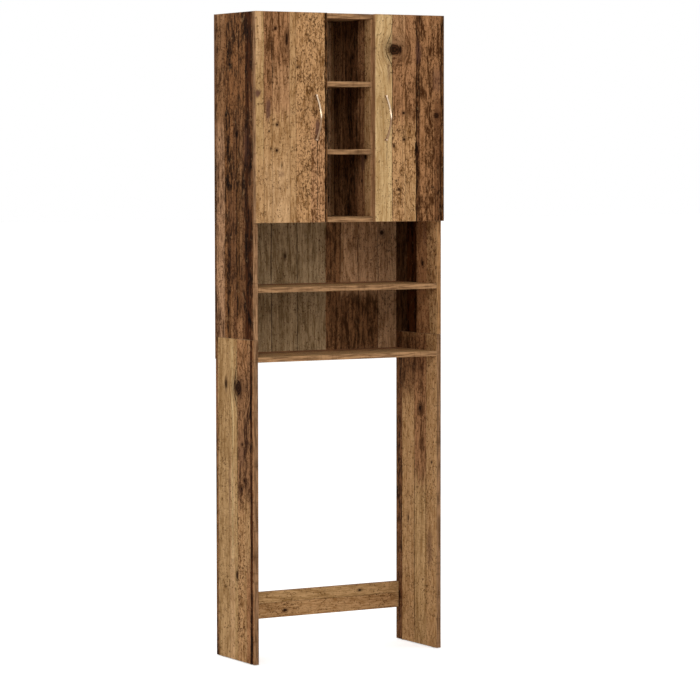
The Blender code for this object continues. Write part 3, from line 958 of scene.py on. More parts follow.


# The chrome's brownish colour for sideways and downward faces is a painted reflection of the wood and shade
# round the handle, and its warm cream clean colour paints in the warm light that the bar reflects
CHROME = Metal("chrome_plate", "dfc5a8", "bba285", 0.18, flank="86664a")
NICKEL = Metal("nickel_plate", "b9b4aa", "8a8478", 0.24)
ZINC = Metal("zinc_plate", "a5a39e", "77746c", 0.34)
WHITE_PLASTIC = Plain("moulded_plastic", "e2e0d8", "c9c5ba", 0.42, (300.0, 300.0, 300.0))
BUMPER = Plain("clear_bumper", "dcdcd6", "bdbcb4", 0.30, (260.0, 260.0, 260.0))
BEECH = Plain("beech_dowel", "d3a878", "a87b4e", 0.62, (900.0, 900.0, 40.0))

# An edge is sharp from this many degrees on, and a recess is sunk from this share of a head's height on
SHARP_FROM = 40.0
SUNK_FROM = 0.35


def coat(material: bpy.types.Material | Metal | Plain, *nodes: str) -> None:
    """Give the slots of CAD nodes a material, and leave their meshes as they are.

    Args:
        material: The material, or what describes it.
        *nodes: The nodes' names.
    """
    if not isinstance(material, bpy.types.Material):
        material = written(material.name, material.write)
    for node in nodes:
        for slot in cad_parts[node].material_slots:
            slot.material = material
        LOG.info("%s: %s", node, material.name)


def add_object(name: str, data: bpy.types.ID) -> bpy.types.Object:
    """Put a new object into the scene.

    Args:
        name: The object's name.
        data: Its mesh, lamp or camera.

    Returns:
        The object.
    """
    made = bpy.data.objects.new(name, data)
    bpy.context.scene.collection.objects.link(made)
    return made


def new_piece(name: str, shells: Sequence[Shell], finish: Metal | Plain, body: str) -> bpy.types.Object:
    """Make an object out of surfaces, smooth but for its sharp edges, and let it ride on a body.

    Args:
        name: The piece's name.
        shells: Points as rows of three, and quads as rows of four numbers; a quad that repeats a
            point is a triangle.
        finish: What it is made of.
        body: The CAD body that carries it.

    Returns:
        The object.
    """
    starts = np.cumsum([0] + [len(points) for points, _ in shells])
    quads = np.concatenate([faces + start for (_, faces), start in zip(shells, starts)])
    mesh = bpy.data.meshes.new(name)
    faces = [tuple(dict.fromkeys(quad)) for quad in quads.tolist()]
    mesh.from_pydata(np.concatenate([points for points, _ in shells]).tolist(), [], faces)
    mesh.materials.append(written(finish.name, finish.write))
    mesh.shade_smooth()
    mesh.set_sharp_from_angle(angle=math.radians(SHARP_FROM))
    made = add_object(name, mesh)
    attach(made, body)
    LOG.info("%s: %d faces of %s", name, len(faces), finish.name)
    return made


def sheet_quads(rows: int, columns: int, closed: bool) -> Grid:
    """The quads of a grid of points, row by row.

    Args:
        rows: Count of rows of points.
        columns: Count of points in a row.
        closed: Whether each row's last point joins its first.

    Returns:
        Rows of four point numbers.
    """
    row = np.arange(rows - 1)[:, None]
    column = np.arange(columns if closed else columns - 1)[None, :]
    first = row * columns + column
    second = row * columns + (column + 1) % columns
    return np.stack([first, second, second + columns, first + columns], -1).reshape(-1, 4)


def tube(path: Grid, wide: Grid, tall: Grid, side: Grid, up: Grid, power: float, count: int) -> Shell:
    """A closed tube whose section is a superellipse, carried along a path.

    The section's point at an angle a lies at wide times the signed power of cos a along the side
    direction, and tall times that of sin a along the up direction. The signed power is the value's
    sign times its size to 2 / power. Both ends close in a fan.

    Args:
        path: The middle line, as rows of three.
        wide: Half the section's width at each point.
        tall: Half its thickness at each point.
        side: The direction of the width at each point.
        up: The direction of the thickness at each point.
        power: 2 for an ellipse, more for a squarer section.
        count: Points round the section.

    Returns:
        Points and quads.
    """
    angle = np.linspace(0.0, 2 * np.pi, count, endpoint=False)
    first, second = (np.sign(wave) * np.abs(wave) ** (2 / power) for wave in (np.cos(angle), np.sin(angle)))
    rings = (path[:, None] + (wide[:, None] * first)[..., None] * side[:, None]
             + (tall[:, None] * second)[..., None] * up[:, None])
    points = np.concatenate([rings.reshape(-1, 3), path[:1], path[-1:]])
    ring = np.arange(count)
    after = (ring + 1) % count
    last_ring = (len(path) - 1) * count
    middles = [np.full(count, len(path) * count + end) for end in (0, 1)]
    start_cap = np.stack([after, ring, middles[0], middles[0]], -1)
    end_cap = np.stack([ring + last_ring, after + last_ring, middles[1], middles[1]], -1)
    return points, np.concatenate([sheet_quads(len(path), count, True), start_cap, end_cap])


def turned(base: Vector, direction: Vector, profile: Grid, count: int,
           sink: Callable[[Grid, Grid], Grid] | None = None) -> Shell:
    """A turned form about an axis: each profile row is a radius and a distance out along the axis.

    The point at angle a on a row lies at radius times (cos a, sin a) across the axis. A row of
    radius 0 closes the form, so both ends of the profile have it. A sink function lowers points.

    Args:
        base: Where the axis starts.
        direction: The way it points, out of the surface.
        profile: Radius and distance, from the hidden end to the visible one.
        count: Points round the axis.
        sink: Gives how deep a point is pressed in, from its two places across the axis.

    Returns:
        Points and quads.
    """
    out = np.array(direction.normalized())
    side = np.array(direction.orthogonal().normalized())
    other = np.cross(out, side)
    angle = np.linspace(0.0, 2 * np.pi, count, endpoint=False)
    across = profile[:, :1] * np.cos(angle)
    upward = profile[:, :1] * np.sin(angle)
    height = np.repeat(profile[:, 1:2], count, axis=1)
    if sink is not None:
        top = profile[:, 1:2] > profile[:, 1].max() * SUNK_FROM
        height = height - np.where(top, sink(across, upward), 0.0)
    rings = np.array(base) + across[..., None] * side + upward[..., None] * other + height[..., None] * out
    points = rings.reshape(-1, 3)
    numbers = np.arange(len(points)).reshape(len(profile), count)
    for row in (0, len(profile) - 1):
        if profile[row, 0] == 0.0:
            numbers[row] = numbers[row, 0]
    used, numbers = np.unique(numbers.reshape(-1), return_inverse=True)
    return points[used], numbers.reshape(-1)[sheet_quads(len(profile), count, True)]


@dataclass(frozen=True)
class Fastener:
    """A round head: radius, height above the surface, how domed it is, and its recess.

    The recess's arm, reach and slope are shares of the radius. Its depth and the shoulder are the
    lesser of two: a share of the radius and a share of the height.
    """

    radius: float
    height: float
    dome: float
    recess: Recess = Recess.CROSS
    sides: int = 40
    arm: float = 0.17
    reach: float = 0.62
    slope: float = 0.35
    deep: tuple[float, float] = (0.5, 0.75)
    shoulder: tuple[float, float] = (0.25, 0.45)
    shoulder_steps: int = 5
    dome_steps: int = 15

    def sink(self, across: Grid, upward: Grid) -> Grid:
        """Depth of the cross: arms are bands about the axes, deepest in the middle, with soft walls.

        Args:
            across: Places across the head.
            upward: Places up the head.

        Returns:
            The depths there.
        """
        if self.recess is Recess.NONE:
            return np.zeros_like(across)
        arm = self.arm * self.radius
        inward = self.reach * self.radius - np.hypot(across, upward)
        slopes = np.clip(inward / (self.slope * self.radius), 0.0, 1.0)
        arms = [np.clip((arm - np.abs(way)) / (0.5 * arm) + 0.5, 0.0, 1.0) for way in (across, upward)]
        return np.maximum(*arms) * slopes * min(self.deep[0] * self.radius, self.deep[1] * self.height)

    def shell(self, place: Vector, direction: Vector) -> Shell:
        """The head on a surface: a short rim, a rounded shoulder, and a shallow dome.

        The shoulder is a quarter circle in the profile, and the dome falls off with the square of
        the radius.

        Args:
            place: Where the head's centre meets the surface.
            direction: The way out of the surface.

        Returns:
            Points and quads.
        """
        shoulder = min(self.shoulder[0] * self.radius, self.shoulder[1] * self.height)
        turn = np.linspace(0.0, np.pi / 2, self.shoulder_steps)
        flat = self.radius - shoulder
        rim = self.height * (1 - self.dome) - shoulder
        round_part = np.stack([flat + shoulder * np.cos(turn), rim + shoulder * np.sin(turn)], -1)
        inner = np.linspace(flat, 0.0, self.dome_steps)[1:]
        crown = rim + shoulder + self.height * self.dome * (1 - (inner / flat) ** 2)
        profile = np.concatenate([[[0.0, 0.0], [self.radius, 0.0]], round_part, np.stack([inner, crown], -1)])
        return turned(place, direction, profile, self.sides, self.sink)


@dataclass
class Sides:
    """The four side boards. Across runs from the front edge to the back, along runs up."""

    depth: float = 234.7

    def build(self) -> None:
        """Dress the four boards."""

        # Dark, bark-like planks with a paler one at the back
        OldWood(
            rows(Plank, (10, Wood.UMBER), (46, Wood.COAL), (64, Wood.UMBER), (80, Wood.BROWN),
                (120, Wood.UMBER), (155, Wood.HUSK), (173, Wood.HUSK), (226, Wood.CHAFF),
                (self.depth, Wood.UMBER)),
            rows(Stretch, (46, 660, 155, 960, Wood.HUSK, 160), (173, 620, 226, 960, Wood.BROWN, 160),
                (0, 380, 30, 480, Wood.UMBER, 160), (0, 600, 24, 720, Wood.UMBER, 160),
                (64, -100, 98, 60, Wood.PLUM, 80), (64, 60, 80, 220, Wood.UMBER, 120),
                (80, 60, 102, 560, Wood.BARK, 160), (120, -100, 138, 100, Wood.BROWN, 160),
                (120, 160, 155, 420, Wood.UMBER, 160), (138, -100, 155, 120, Wood.BARK, 160)),
            knots=rows(Oval, (218, 845, 4, 13), (205, 582, 3, 4), (98, 600, 6, 7, 0.8),
                (178, 250, 5, 6, 0.8)),
            stains=rows(Oval, (40, 560, 20, 60, 0.5)),
            splits=rows(Split, (31, 20, 900, 3), (100, 40, 620, 5), (85, 550, 930, 3),
                (225, 300, 930, 1.6)),
            wavy=0.0032, coarse=1.7).dress("side_left_upper", 3.1)

        # A golden plank at the back and a redder one in front, with a long split between
        OldWood(
            rows(Plank, (9, Wood.ROSE), (23, Wood.COAL), (100, Wood.TAN_FLECKED), (150, Wood.PALE),
                (220, Wood.GOLD), (self.depth, Wood.BROWN)),
            rows(Stretch, (23, 460, 100, 950, Wood.RUST, 200), (70, 800, 100, 960, Wood.ROSE, 100),
                (40, 850, 66, 960, Wood.ROSE, 80), (9, 560, 23, 660, Wood.UMBER, 60),
                (23, -100, 60, 460, Wood.TAN, 200), (23, -100, 46, 280, Wood.ROSE, 160),
                (118, -100, 150, 620, Wood.HONEY, 200), (124, 300, 136, 960, Wood.CREAM, 300)),
            knots=rows(Oval, (93, 805, 24, 26), (170, 812, 6, 14), (58, 535, 6, 5), (76, 510, 6, 5),
                (105, 252, 6, 14), (70, 640, 7, 6, 0.8)),
            stains=rows(Oval, (74, 620, 20, 60, 0.6), (150, 500, 6, 90, 0.6)),
            splits=rows(Split, (60, 600, 930, 2.6), (100.5, 360, 930, 3), (131, 300, 880, 1.6),
                (232.5, -50, 620, 4)),
            tape=Wood.TAPE_DARK, wavy=0.0022, coarse=1.6).dress("side_left_lower", 7.7)

        # Mid brown planks, as the inner face shows them
        OldWood(
            rows(Plank, (40, Wood.TAN), (116, Wood.ROSE), (172, Wood.COAL), (self.depth, Wood.SMOKE)),
            rows(Stretch, (0, 100, 58, 500, Wood.TAN_FLECKED, 200), (116, 450, 172, 800, Wood.BROWN, 200)),
            knots=rows(Oval, (82, 210, 6, 9), (140, 660, 5, 8), (30, 800, 4, 6, 0.8)),
            stains=rows(Oval, (70, 300, 12, 50, 0.6)),
            splits=rows(Split, (116, 50, 700, 2.4), (190, 300, 920, 1.8)),
            tape=Wood.TAPE_WARM, wavy=0.0026, coarse=1.4).dress("side_right_upper", 12.4)

        # Paler planks below the joint
        OldWood(
            rows(Plank, (60, Wood.TAN), (128, Wood.GOLD), (200, Wood.TAN), (self.depth, Wood.UMBER)),
            rows(Stretch, (60, 500, 128, 960, Wood.PLUM, 200), (128, 760, 200, 960, Wood.BROWN, 200)),
            knots=rows(Oval, (94, 720, 8, 9), (164, 380, 3, 11), (30, 560, 3.5, 4)),
            stains=rows(Oval, (40, 300, 18, 70, 0.7)),
            splits=rows(Split, (128, 20, 600, 2.4), (60, 300, 920, 1.4)),
            tape=Wood.TAPE_DARK, wavy=0.0022, coarse=1.4).dress("side_right_lower", 18.9)


@dataclass
class Levels:
    """The boards that lie level. Across runs from front to back, along runs from left to right."""

    depth: float = 234.7
    turn_step: float = 1.7
    first_seed: float = 21.0
    seed_step: float = 3.3

    def shelf(self, woods: tuple[Wood, Wood, Wood], turn: float) -> OldWood:
        """A shelf of three planks.

        Args:
            woods: The woods of the front, the middle and the back plank.
            turn: Moves the joints and the knots, so that no two shelves are alike.

        Returns:
            The finish.
        """
        sine, cosine = math.sin(turn), math.cos(turn)
        front = 70 + 12 * sine
        back = 158 + 10 * cosine
        return OldWood(
            rows(Plank, *zip((front, back, self.depth), woods)),
            knots=rows(Oval, (40 + 10 * cosine, 170 + 50 * sine, 4, 6), (back - 30, 430 + 60 * cosine, 6, 11),
                (205, 300 + 90 * math.sin(2 * turn), 3, 5)),
            stains=rows(Oval, (front + 20, 300 + 100 * sine, 16, 60, 0.7)),
            splits=rows(Split, (back, 40, 500, 1.8)), tape=Wood.TAPE_GOLD, along=Axis.X)

    def build(self) -> None:
        """Dress the eight level boards and the rail."""
        woods = {
            "top_panel": (Wood.ROSE, Wood.TAN, Wood.BROWN),
            "cupboard_bottom": (Wood.TAN, Wood.ROSE, Wood.GOLD),
            "open_shelf_upper": (Wood.TAN, Wood.GOLD, Wood.ROSE),
            "open_shelf_lower": (Wood.GOLD, Wood.TAN, Wood.ROSE),
            "centre_shelf_lower": (Wood.ROSE, Wood.TAN, Wood.BROWN),
            "centre_shelf_upper": (Wood.TAN, Wood.ROSE, Wood.BROWN),
            "cupboard_shelf_left": (Wood.GOLD, Wood.ROSE, Wood.TAN),
            "cupboard_shelf_right": (Wood.TAN, Wood.BROWN, Wood.GOLD),
        }
        for index, (node, three) in enumerate(woods.items()):
            self.shelf(three, self.turn_step * index).dress(node, self.first_seed + self.seed_step * index)
        rail = OldWood(
            rows(Plank, (46, Wood.TAN), (80, Wood.GOLD)),
            knots=rows(Oval, (20, 210, 4, 7), (62, 470, 3, 6)),
            across=Axis.Z, along=Axis.X)
        rail.dress("rear_rail", 57.3)


@dataclass
class Column:
    """The two dividers of the open column. Across runs from front to back, along runs up."""

    depth: float = 234.7

    def build(self) -> None:
        """Dress the dividers."""
        left = OldWood(
            rows(Plank, (55, Wood.BROWN), (130, Wood.ROSE), (self.depth, Wood.UMBER)),
            knots=rows(Oval, (90, 420, 6, 8)),
            splits=rows(Split, (55, 50, 500, 1.8)),
            tape=Wood.UMBER)
        right = OldWood(
            rows(Plank, (36, Wood.TAN), (78, Wood.PLUM), (152, Wood.UMBER), (217, Wood.PLUM),
                (self.depth, Wood.HONEY)),
            knots=rows(Oval, (30, 175, 6, 8), (52, 105, 4, 6), (105, 470, 5, 7)),
            stains=rows(Oval, (45, 160, 16, 30)),
            splits=rows(Split, (78, 100, 550, 1.8)),
            tape=Wood.FAWN)
        left.dress("divider_left", 61.2)
        right.dress("divider_right", 64.8)


@dataclass
class Backs:
    """The two thin back panels, printed in front and bare behind, and their nails."""

    wide: float = 640.0
    nail: Fastener = Fastener(0.0024, 0.0003, 0.5, Recess.NONE, 16)
    nail_inset: float = 0.0075
    nail_step: float = 0.095

    def nails(self, name: str) -> None:
        """Set nails round a panel, an even step apart.

        Args:
            name: The panel's place, upper or lower.
        """
        low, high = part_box("back_panel_" + name)
        inset = self.nail_inset
        spans = [(low[axis.value] + inset, high[axis.value] - inset) for axis in (Axis.X, Axis.Z)]
        columns, levels = (np.linspace(low_end, high_end, round((high_end - low_end) / self.nail_step) + 1)
                           for low_end, high_end in spans)
        places = [(x, z) for x in spans[0] for z in levels]
        places += [(x, z) for x in columns[1:-1] for z in spans[1]]
        shells = [self.nail.shell(Vector((x, high.y, z)), Vector((0, 1, 0))) for x, z in places]
        new_piece("back_nails_" + name, shells, ZINC, "carcass")

    def build(self) -> None:
        """Dress the panels and set their nails."""

        # Dark streaky planks behind the cupboards and the niches
        OldWood(
            rows(Plank, (120, Wood.UMBER), (245, Wood.BARK), (299, Wood.SMOKE), (345, Wood.BARK),
                (360, Wood.SOOT), (400, Wood.MAUVE), (520, Wood.BARK), (self.wide, Wood.UMBER)),
            knots=rows(Oval, (300, 300, 6, 10, 0.7), (355, 520, 5, 7, 0.7)),
            splits=rows(Split, (270, 20, 600, 3), (330, 50, 580, 2.6), (385, 30, 500, 3)),
            wavy=0.003, raw_back=True, across=Axis.X).dress("back_panel_upper", 71.5)

        # Grey-brown planks at the left, darker ones to the right
        OldWood(
            rows(Plank, (58, Wood.UMBER), (190, Wood.ASH), (278, Wood.ASH), (376, Wood.ASH),
                (428, Wood.BROWN), (560, Wood.MAUVE), (self.wide, Wood.MAUVE)),
            rows(Stretch, (428, 0, 560, 180, Wood.BROWN, 100)),
            knots=rows(Oval, (574, 366, 7, 9), (236, 300, 4, 9, 0.8)),
            splits=rows(Split, (190, 0, 410, 1.6), (278, 0, 410, 1.4), (490, 0, 410, 2)),
            wavy=0.0024, raw_back=True, across=Axis.X).dress("back_panel_lower", 76.1)

        for name in ("upper", "lower"):
            self.nails(name)


@dataclass
class BowHandle:
    """A bow handle: a flat bar that arches between two round feet."""

    hand: Hand
    centres: float = 0.128
    out: float = 0.030
    wide: float = 0.0068
    thick: float = 0.0040
    foot_radius: float = 0.0042
    foot_high: float = 0.0050
    foot_shoulder: float = 0.0016
    collar_high: float = 0.0006
    neck_high: float = 0.0010
    neck_inset: float = 0.0004
    waist: float = 0.06
    power: float = 2.2
    steps: int = 121
    sides: int = 40
    foot_steps: int = 8
    foot_sides: int = 48
    screw: Fastener = Fastener(0.0042, 0.0016, 0.45)

    def bow(self, middle: Vector) -> Shell:
        """The arched bar.

        Its middle line stands out by a sine of the way along it, and its section is a superellipse
        that widens a little towards the feet.

        Args:
            middle: The point on the door's face between the two feet.

        Returns:
            Points and quads.
        """
        way = np.linspace(0.0, 1.0, self.steps)
        lift = self.foot_high / 2
        standing = lift + (self.out - self.thick / 2 - lift) * np.sin(np.pi * way)
        path = np.stack([np.full_like(way, middle.x), middle.y - standing,
                         middle.z + self.centres * (way - 0.5)], -1)
        slope = np.gradient(path, axis=0)
        slope /= np.linalg.norm(slope, axis=1, keepdims=True)
        side = np.tile((1.0, 0.0, 0.0), (len(way), 1))
        swell = 1.0 - self.waist * np.sin(np.pi * way) ** 2
        wide = self.wide / 2 * swell / swell.max()
        tall = np.full_like(way, self.thick / 2)
        return tube(path, wide, tall, side, np.cross(side, slope), self.power, self.sides)

    def foot(self, centre: Vector) -> Shell:
        """A round foot with a small collar and a rounded shoulder.

        Args:
            centre: Its place on the door's face.

        Returns:
            Points and quads.
        """
        turn = np.linspace(0.0, np.pi / 2, self.foot_steps)
        radius = self.foot_radius - self.neck_inset
        rounded = np.stack([radius - self.foot_shoulder + self.foot_shoulder * np.cos(turn),
                            self.foot_high - self.foot_shoulder + self.foot_shoulder * np.sin(turn)], -1)
        low = [[0.0, 0.0], [self.foot_radius, 0.0], [self.foot_radius, self.collar_high],
               [radius, self.neck_high]]
        profile = np.concatenate([low, rounded, [[0.0, self.foot_high]]])
        return turned(centre, Vector((0, -1, 0)), profile, self.foot_sides)

    def build(self) -> None:
        """Make the handle in its CAD node's place, and its two screws inside the door."""
        word = self.hand.word
        low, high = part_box("handle_" + word)
        door_low, door_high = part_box("door_" + word)
        middle = Vector(((low.x + high.x) / 2, door_low.y, (low.z + high.z) / 2))
        ends = [middle + Vector((0, 0, reach)) for reach in (-self.centres / 2, self.centres / 2)]
        shells = [self.bow(middle)] + [self.foot(end) for end in ends]
        made = new_piece("bow_handle_" + word, shells, CHROME, word + "_door")
        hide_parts("handle_" + word)
        inner = [self.screw.shell(Vector((end.x, door_high.y, end.z)), Vector((0, 1, 0))) for end in ends]
        new_piece("handle_screws_" + word, inner, ZINC, word + "_door")
        LOG.info("handle_%s: bow and two screws", word)


@dataclass
class Door:
    """A door with its handle, its bumpers and the screws of its two hinge cups."""

    hand: Hand
    finish: OldWood
    seed: float
    half_wide: float = 0.320
    cup_screw_across: float = 0.0268
    cup_screw_reach: float = 0.024
    cup_screw: Fastener = Fastener(0.0036, 0.0011, 0.45)
    bumper: Fastener = Fastener(0.0034, 0.0014, 0.55, Recess.NONE, 24)
    bumper_inset: float = 0.016
    bumper_edge: float = 0.0045

    def build(self) -> None:
        """Dress the door and make what rides on it."""
        word = self.hand.word
        body = word + "_door"
        self.finish.dress("door_" + word, self.seed)
        BowHandle(self.hand).build()
        low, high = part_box("door_" + word)
        back = Vector((0, 1, 0))
        screws = []
        for cup in (f"hinge_cup_{word}_lower", f"hinge_cup_{word}_upper"):
            coat(NICKEL, cup)
            cup_low, cup_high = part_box(cup)
            centre = (cup_low.z + cup_high.z) / 2
            across = self.hand.value * (self.half_wide - self.cup_screw_across)
            screws += [self.cup_screw.shell(Vector((across, cup_high.y, centre + reach)), back)
                       for reach in (-self.cup_screw_reach, self.cup_screw_reach)]
        new_piece("cup_screws_" + word, screws, NICKEL, body)
        free = low.x if self.hand is Hand.RIGHT else high.x
        across = free + self.hand.value * self.bumper_edge
        pads = [self.bumper.shell(Vector((across, high.y, height)), back)
                for height in (low.z + self.bumper_inset, high.z - self.bumper_inset)]
        new_piece("door_bumpers_" + word, pads, BUMPER, body)


@dataclass
class Hinges:
    """The parts of the four hinges that stay on the sides, their links and their screws.

    The plate's wings and the arm's back lie a little inside the side board's inner face.
    """

    parts: tuple[str, ...] = ("hinge_plate", "hinge_arm", "outer_link", "inner_link")
    side_face: float = 0.305
    wing_off: float = 0.0022
    arm_off: float = 0.0105
    screw_y: float = -0.0585
    screw_reach: float = 0.016
    plate_screw: Fastener = Fastener(0.0036, 0.0011, 0.45)
    arm_screw: Fastener = Fastener(0.0034, 0.0010, 0.30)

    def build(self) -> None:
        """Dress the hinge parts and set their screws."""
        for hand in Hand:
            inward = Vector((-hand.value, 0, 0))
            wing, arm = (hand.value * (self.side_face - off) for off in (self.wing_off, self.arm_off))
            screws = []
            for tag in (hand.word + "_lower", hand.word + "_upper"):
                coat(NICKEL, *(f"{part}_{tag}" for part in self.parts))
                low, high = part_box("hinge_plate_" + tag)
                centre = (low.z + high.z) / 2
                screws += [self.plate_screw.shell(Vector((wing, self.screw_y, centre + reach)), inward)
                           for reach in (-self.screw_reach, self.screw_reach)]
                screws.append(self.arm_screw.shell(Vector((arm, self.screw_y, centre)), inward))
            new_piece("plate_screws_" + hand.word, screws, NICKEL, "carcass")


@dataclass
class Fittings:
    """Shelf pins, dowels, glides and the cam locks under the level boards."""

    cam: Fastener = Fastener(0.0075, 0.0004, 0.0, sides=48)
    cam_from_end: float = 0.0335
    cam_from_edge: float = 0.037

    def cams(self, node: str) -> None:
        """Set four cam locks in a board's underside.

        Args:
            node: The board's node.
        """
        low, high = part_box(node)
        shells = [self.cam.shell(Vector((x, y, low.z)), Vector((0, 0, -1)))
                  for x in (low.x + self.cam_from_end, high.x - self.cam_from_end)
                  for y in (low.y + self.cam_from_edge, high.y - self.cam_from_edge)]
        new_piece("cam_locks_" + node, shells, ZINC, "carcass")

    def build(self) -> None:
        """Dress the small parts and set the cam locks."""
        for side in ("left", "right"):
            for place in ("front", "rear"):
                coat(BEECH, f"dowel_{side}_{place}")
                coat(WHITE_PLASTIC, f"glide_{side}_{place}")
                coat(NICKEL, f"shelf_pin_{side}_outer_{place}", f"shelf_pin_{side}_inner_{place}")
        for node in ("top_panel", "cupboard_bottom", "open_shelf_upper", "open_shelf_lower"):
            self.cams(node)


# Pale, rosy and tan planks with a bark-like one at its free edge
LEFT_DOOR = OldWood(
    rows(Plank, (26.5, Wood.PALE), (54.5, Wood.PLUM), (112.5, Wood.FAWN), (133, Wood.TAN),
        (231, Wood.TAN_FLECKED), (239, Wood.BARK)),
    rows(Stretch, (0, 460, 20, 700, Wood.HONEY, 100), (54.5, 455, 112.5, 700, Wood.PLUM, 120),
        (26.5, -100, 112.5, 310, Wood.TAN, 180), (0, -100, 33, 190, Wood.TAN, 100),
        (33, -100, 112.5, 165, Wood.HONEY, 140), (183, -100, 231, 300, Wood.BURR, 180)),
    knots=rows(Oval, (65.4, 561, 4.5, 5), (70.4, 284, 4, 4.4), (69.3, 209.6, 4.4, 4.8),
        (103, 530, 4.2, 23), (44, 265, 2, 3), (86, 166, 1.8, 6, 0.7), (50, 215, 2.4, 5, 0.7),
        (138, 450, 3, 4, 0.8)),
    stains=rows(Oval, (6, 374, 12, 14, 1.5), (41, 330, 10, 42, 1.3), (205, 270, 9, 40, 1.4),
        (86, 140, 12, 12, 0.6)),
    splits=rows(Split, (53.5, 370, 530, 2.4), (231.2, -20, 630, 3.6), (107.5, 400, 620, 1.6),
        (205, 0, 260, 2.2)),
    across=Axis.X)

# A cream plank, a brown one with a big knot, and a dark flecked one
RIGHT_DOOR = OldWood(
    rows(Plank, (58.5, Wood.CREAM), (92.5, Wood.PLUM), (103, Wood.ROSE), (141, Wood.PLUM),
        (153, Wood.UMBER), (226.5, Wood.RUSSET), (239, Wood.BARK)),
    rows(Stretch, (58.5, -100, 141, 290, Wood.TAN_FLECKED, 160), (100, -100, 141, 130, Wood.TAN, 100),
        (58.5, 520, 103, 640, Wood.FAWN, 80), (153, 120, 172, 360, Wood.ROSE, 140),
        (172, 530, 190, 700, Wood.ROSE, 100), (205, -100, 226.5, 370, Wood.UMBER, 100)),
    knots=rows(Oval, (67.2, 507, 25, 22), (97.6, 320.5, 4.8, 5), (99.3, 242.5, 4.4, 4.6),
        (211.7, 313.5, 9.5, 10.5), (64, 222, 2.6, 6, 0.8), (81.5, 95, 3.6, 4, 0.8),
        (73, 120, 2.6, 4, 0.7), (200, 100, 3.6, 4, 0.7), (142, 215, 3.6, 16, 0.9)),
    stains=rows(Oval, (215, 420, 20, 50, 0.7), (148, 500, 14, 40, 0.8), (47, 440, 8, 40, 0.7)),
    splits=rows(Split, (141.2, -20, 630, 3), (59, 0, 600, 1.4), (40, 170, 240, 1.6),
        (228, 0, 600, 3.4)),
    tape=Wood.FAWN, across=Axis.X)


@dataclass(frozen=True)
class CameraPlace:
    """Where the view is taken from, solved from the cabinet's known corners."""

    place: tuple[float, float, float] = (-4.5803, -7.9275, 1.4668)
    turn_right: float = 30.340
    look_down: float = 3.495
    lean: float = -0.069
    lens: float = 158.54
    sensor: float = 36.0
    sight: float = 200.0

    def build(self) -> None:
        """Make the camera and let the scene use it."""
        data = bpy.data.cameras.new("camera")
        data.lens = self.lens
        data.sensor_width = self.sensor
        data.clip_end = self.sight
        made = add_object("camera", data)
        made.location = self.place
        level = Euler((math.radians(90 - self.look_down), 0.0, math.radians(-self.turn_right))).to_matrix()
        made.rotation_euler = (level @ Euler((0.0, 0.0, math.radians(self.lean))).to_matrix()).to_euler()
        bpy.context.scene.camera = made


@dataclass(frozen=True)
class Lamp:
    """A soft round lamp."""

    name: str
    place: tuple[float, float, float]
    size: float
    watts: float

    def build(self, aim: Vector) -> None:
        """Make the lamp, and turn it to a point.

        Args:
            aim: The point.
        """
        data = bpy.data.lights.new(self.name, "AREA")
        data.shape = "DISK"
        data.size = self.size
        data.energy = self.watts
        made = add_object(self.name, data)
        made.location = self.place
        made.rotation_euler = (aim - Vector(self.place)).to_track_quat("-Z", "Y").to_euler()


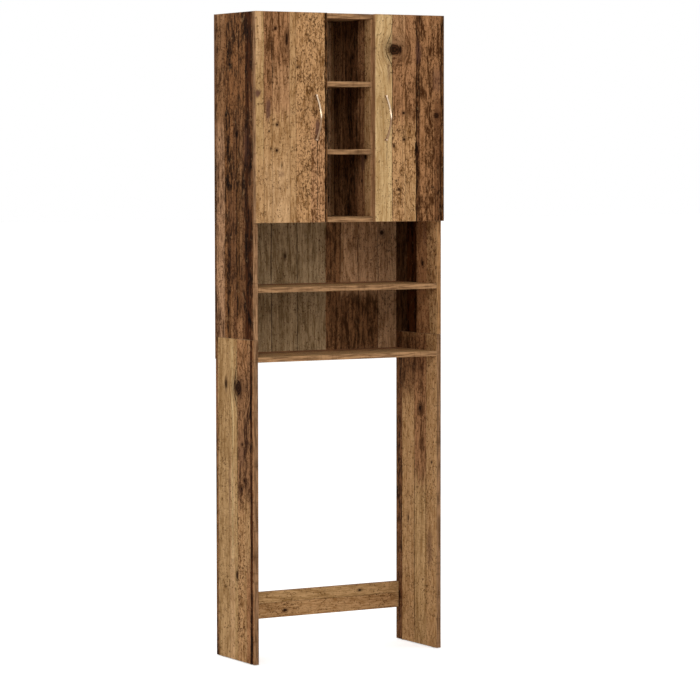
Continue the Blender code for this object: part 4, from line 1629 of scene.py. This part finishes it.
@dataclass
class Studio:
    """The white room: floor, light from all round, three soft lamps and the camera."""

    floor_half: float = 60.0
    floor_points: int = 9
    floor_colour: Colour = (0.86, 0.86, 0.86, 1.0)
    floor_roughness: float = 0.9
    floor_glow: float = 0.52
    room_light: float = 0.62
    aim: Vector = Vector((0.0, 0.0, 0.95))
    lamps: tuple[Lamp, ...] = (
        Lamp("key_lamp", (-3.0, -5.0, 4.2), 2.6, 105.0),
        Lamp("fill_lamp", (4.2, -4.6, 2.6), 3.0, 50.0),
        Lamp("back_lamp", (-2.0, 4.5, 3.6), 3.0, 60.0),
    )

    def for_the_eye(self, graph: Graph, unseen: Term, seen: Term) -> Term:
        """Choose between two shaders by whether the camera sees the surface, if only by glass or metal.

        Args:
            graph: The graph of both.
            unseen: The shader for other rays.
            seen: The shader for the camera's rays.

        Returns:
            The chosen shader.
        """
        outputs = graph.add("LightPath").outputs
        camera, metal, glass = (Term(graph, outputs[f"Is {kind} Ray"])
                                for kind in ("Camera", "Glossy", "Transmission"))
        return graph.new("MixShader", (camera.most(metal).most(glass), unseen, seen))

    def room(self) -> None:
        """Light the scene from all round, and show plain white behind it."""
        world = bpy.data.worlds.new("room")
        world.use_nodes = True
        graph = Graph(world.node_tree)
        light, shown = (graph.new("Background", (WHITE, strength)) for strength in (self.room_light, 1.0))
        graph.add("OutputWorld", (self.for_the_eye(graph, light, shown),))
        bpy.context.scene.world = world

    def floor_material(self, graph: Graph) -> None:
        """Write the floor: it glows a little for the camera, so that only shadow falls below white.

        Args:
            graph: The material's graph.
        """
        surface = {"Base Color": self.floor_colour, "Roughness": self.floor_roughness}
        matt = graph.new("BsdfPrincipled", surface)
        both = graph.new("AddShader", (matt, graph.new("Emission", {"Strength": self.floor_glow})))
        graph.add("OutputMaterial", (self.for_the_eye(graph, matt, both),))

    def floor(self) -> None:
        """A wide white floor that keeps the cabinet's shadow: a grid of points at height 0."""
        steps = np.linspace(-self.floor_half, self.floor_half, self.floor_points)
        x, y = np.meshgrid(steps, steps)
        points = np.stack([x, y, np.zeros_like(x)], -1).reshape(-1, 3)
        mesh = bpy.data.meshes.new("floor")
        quads = sheet_quads(self.floor_points, self.floor_points, False)
        mesh.from_pydata(points.tolist(), [], quads.tolist())
        made = add_object("floor", mesh)
        mesh.materials.append(written("floor", self.floor_material))

    def build(self) -> None:
        """Make the room, the floor, the lamps and the camera."""
        self.room()
        self.floor()
        for lamp in self.lamps:
            lamp.build(self.aim)
        CameraPlace().build()
        bpy.context.scene.view_settings.view_transform = "Standard"


def main() -> None:
    """Dress the cabinet part by part, then light it."""
    logging.basicConfig(level=logging.INFO, format="%(name)s: %(message)s")
    Sides().build()
    Levels().build()
    Column().build()
    Backs().build()
    Door(Hand.LEFT, LEFT_DOOR, 83.7).build()
    Door(Hand.RIGHT, RIGHT_DOOR, 91.4).build()
    Hinges().build()
    Fittings().build()
    Studio().build()


if __name__ == "__main__":
    main()
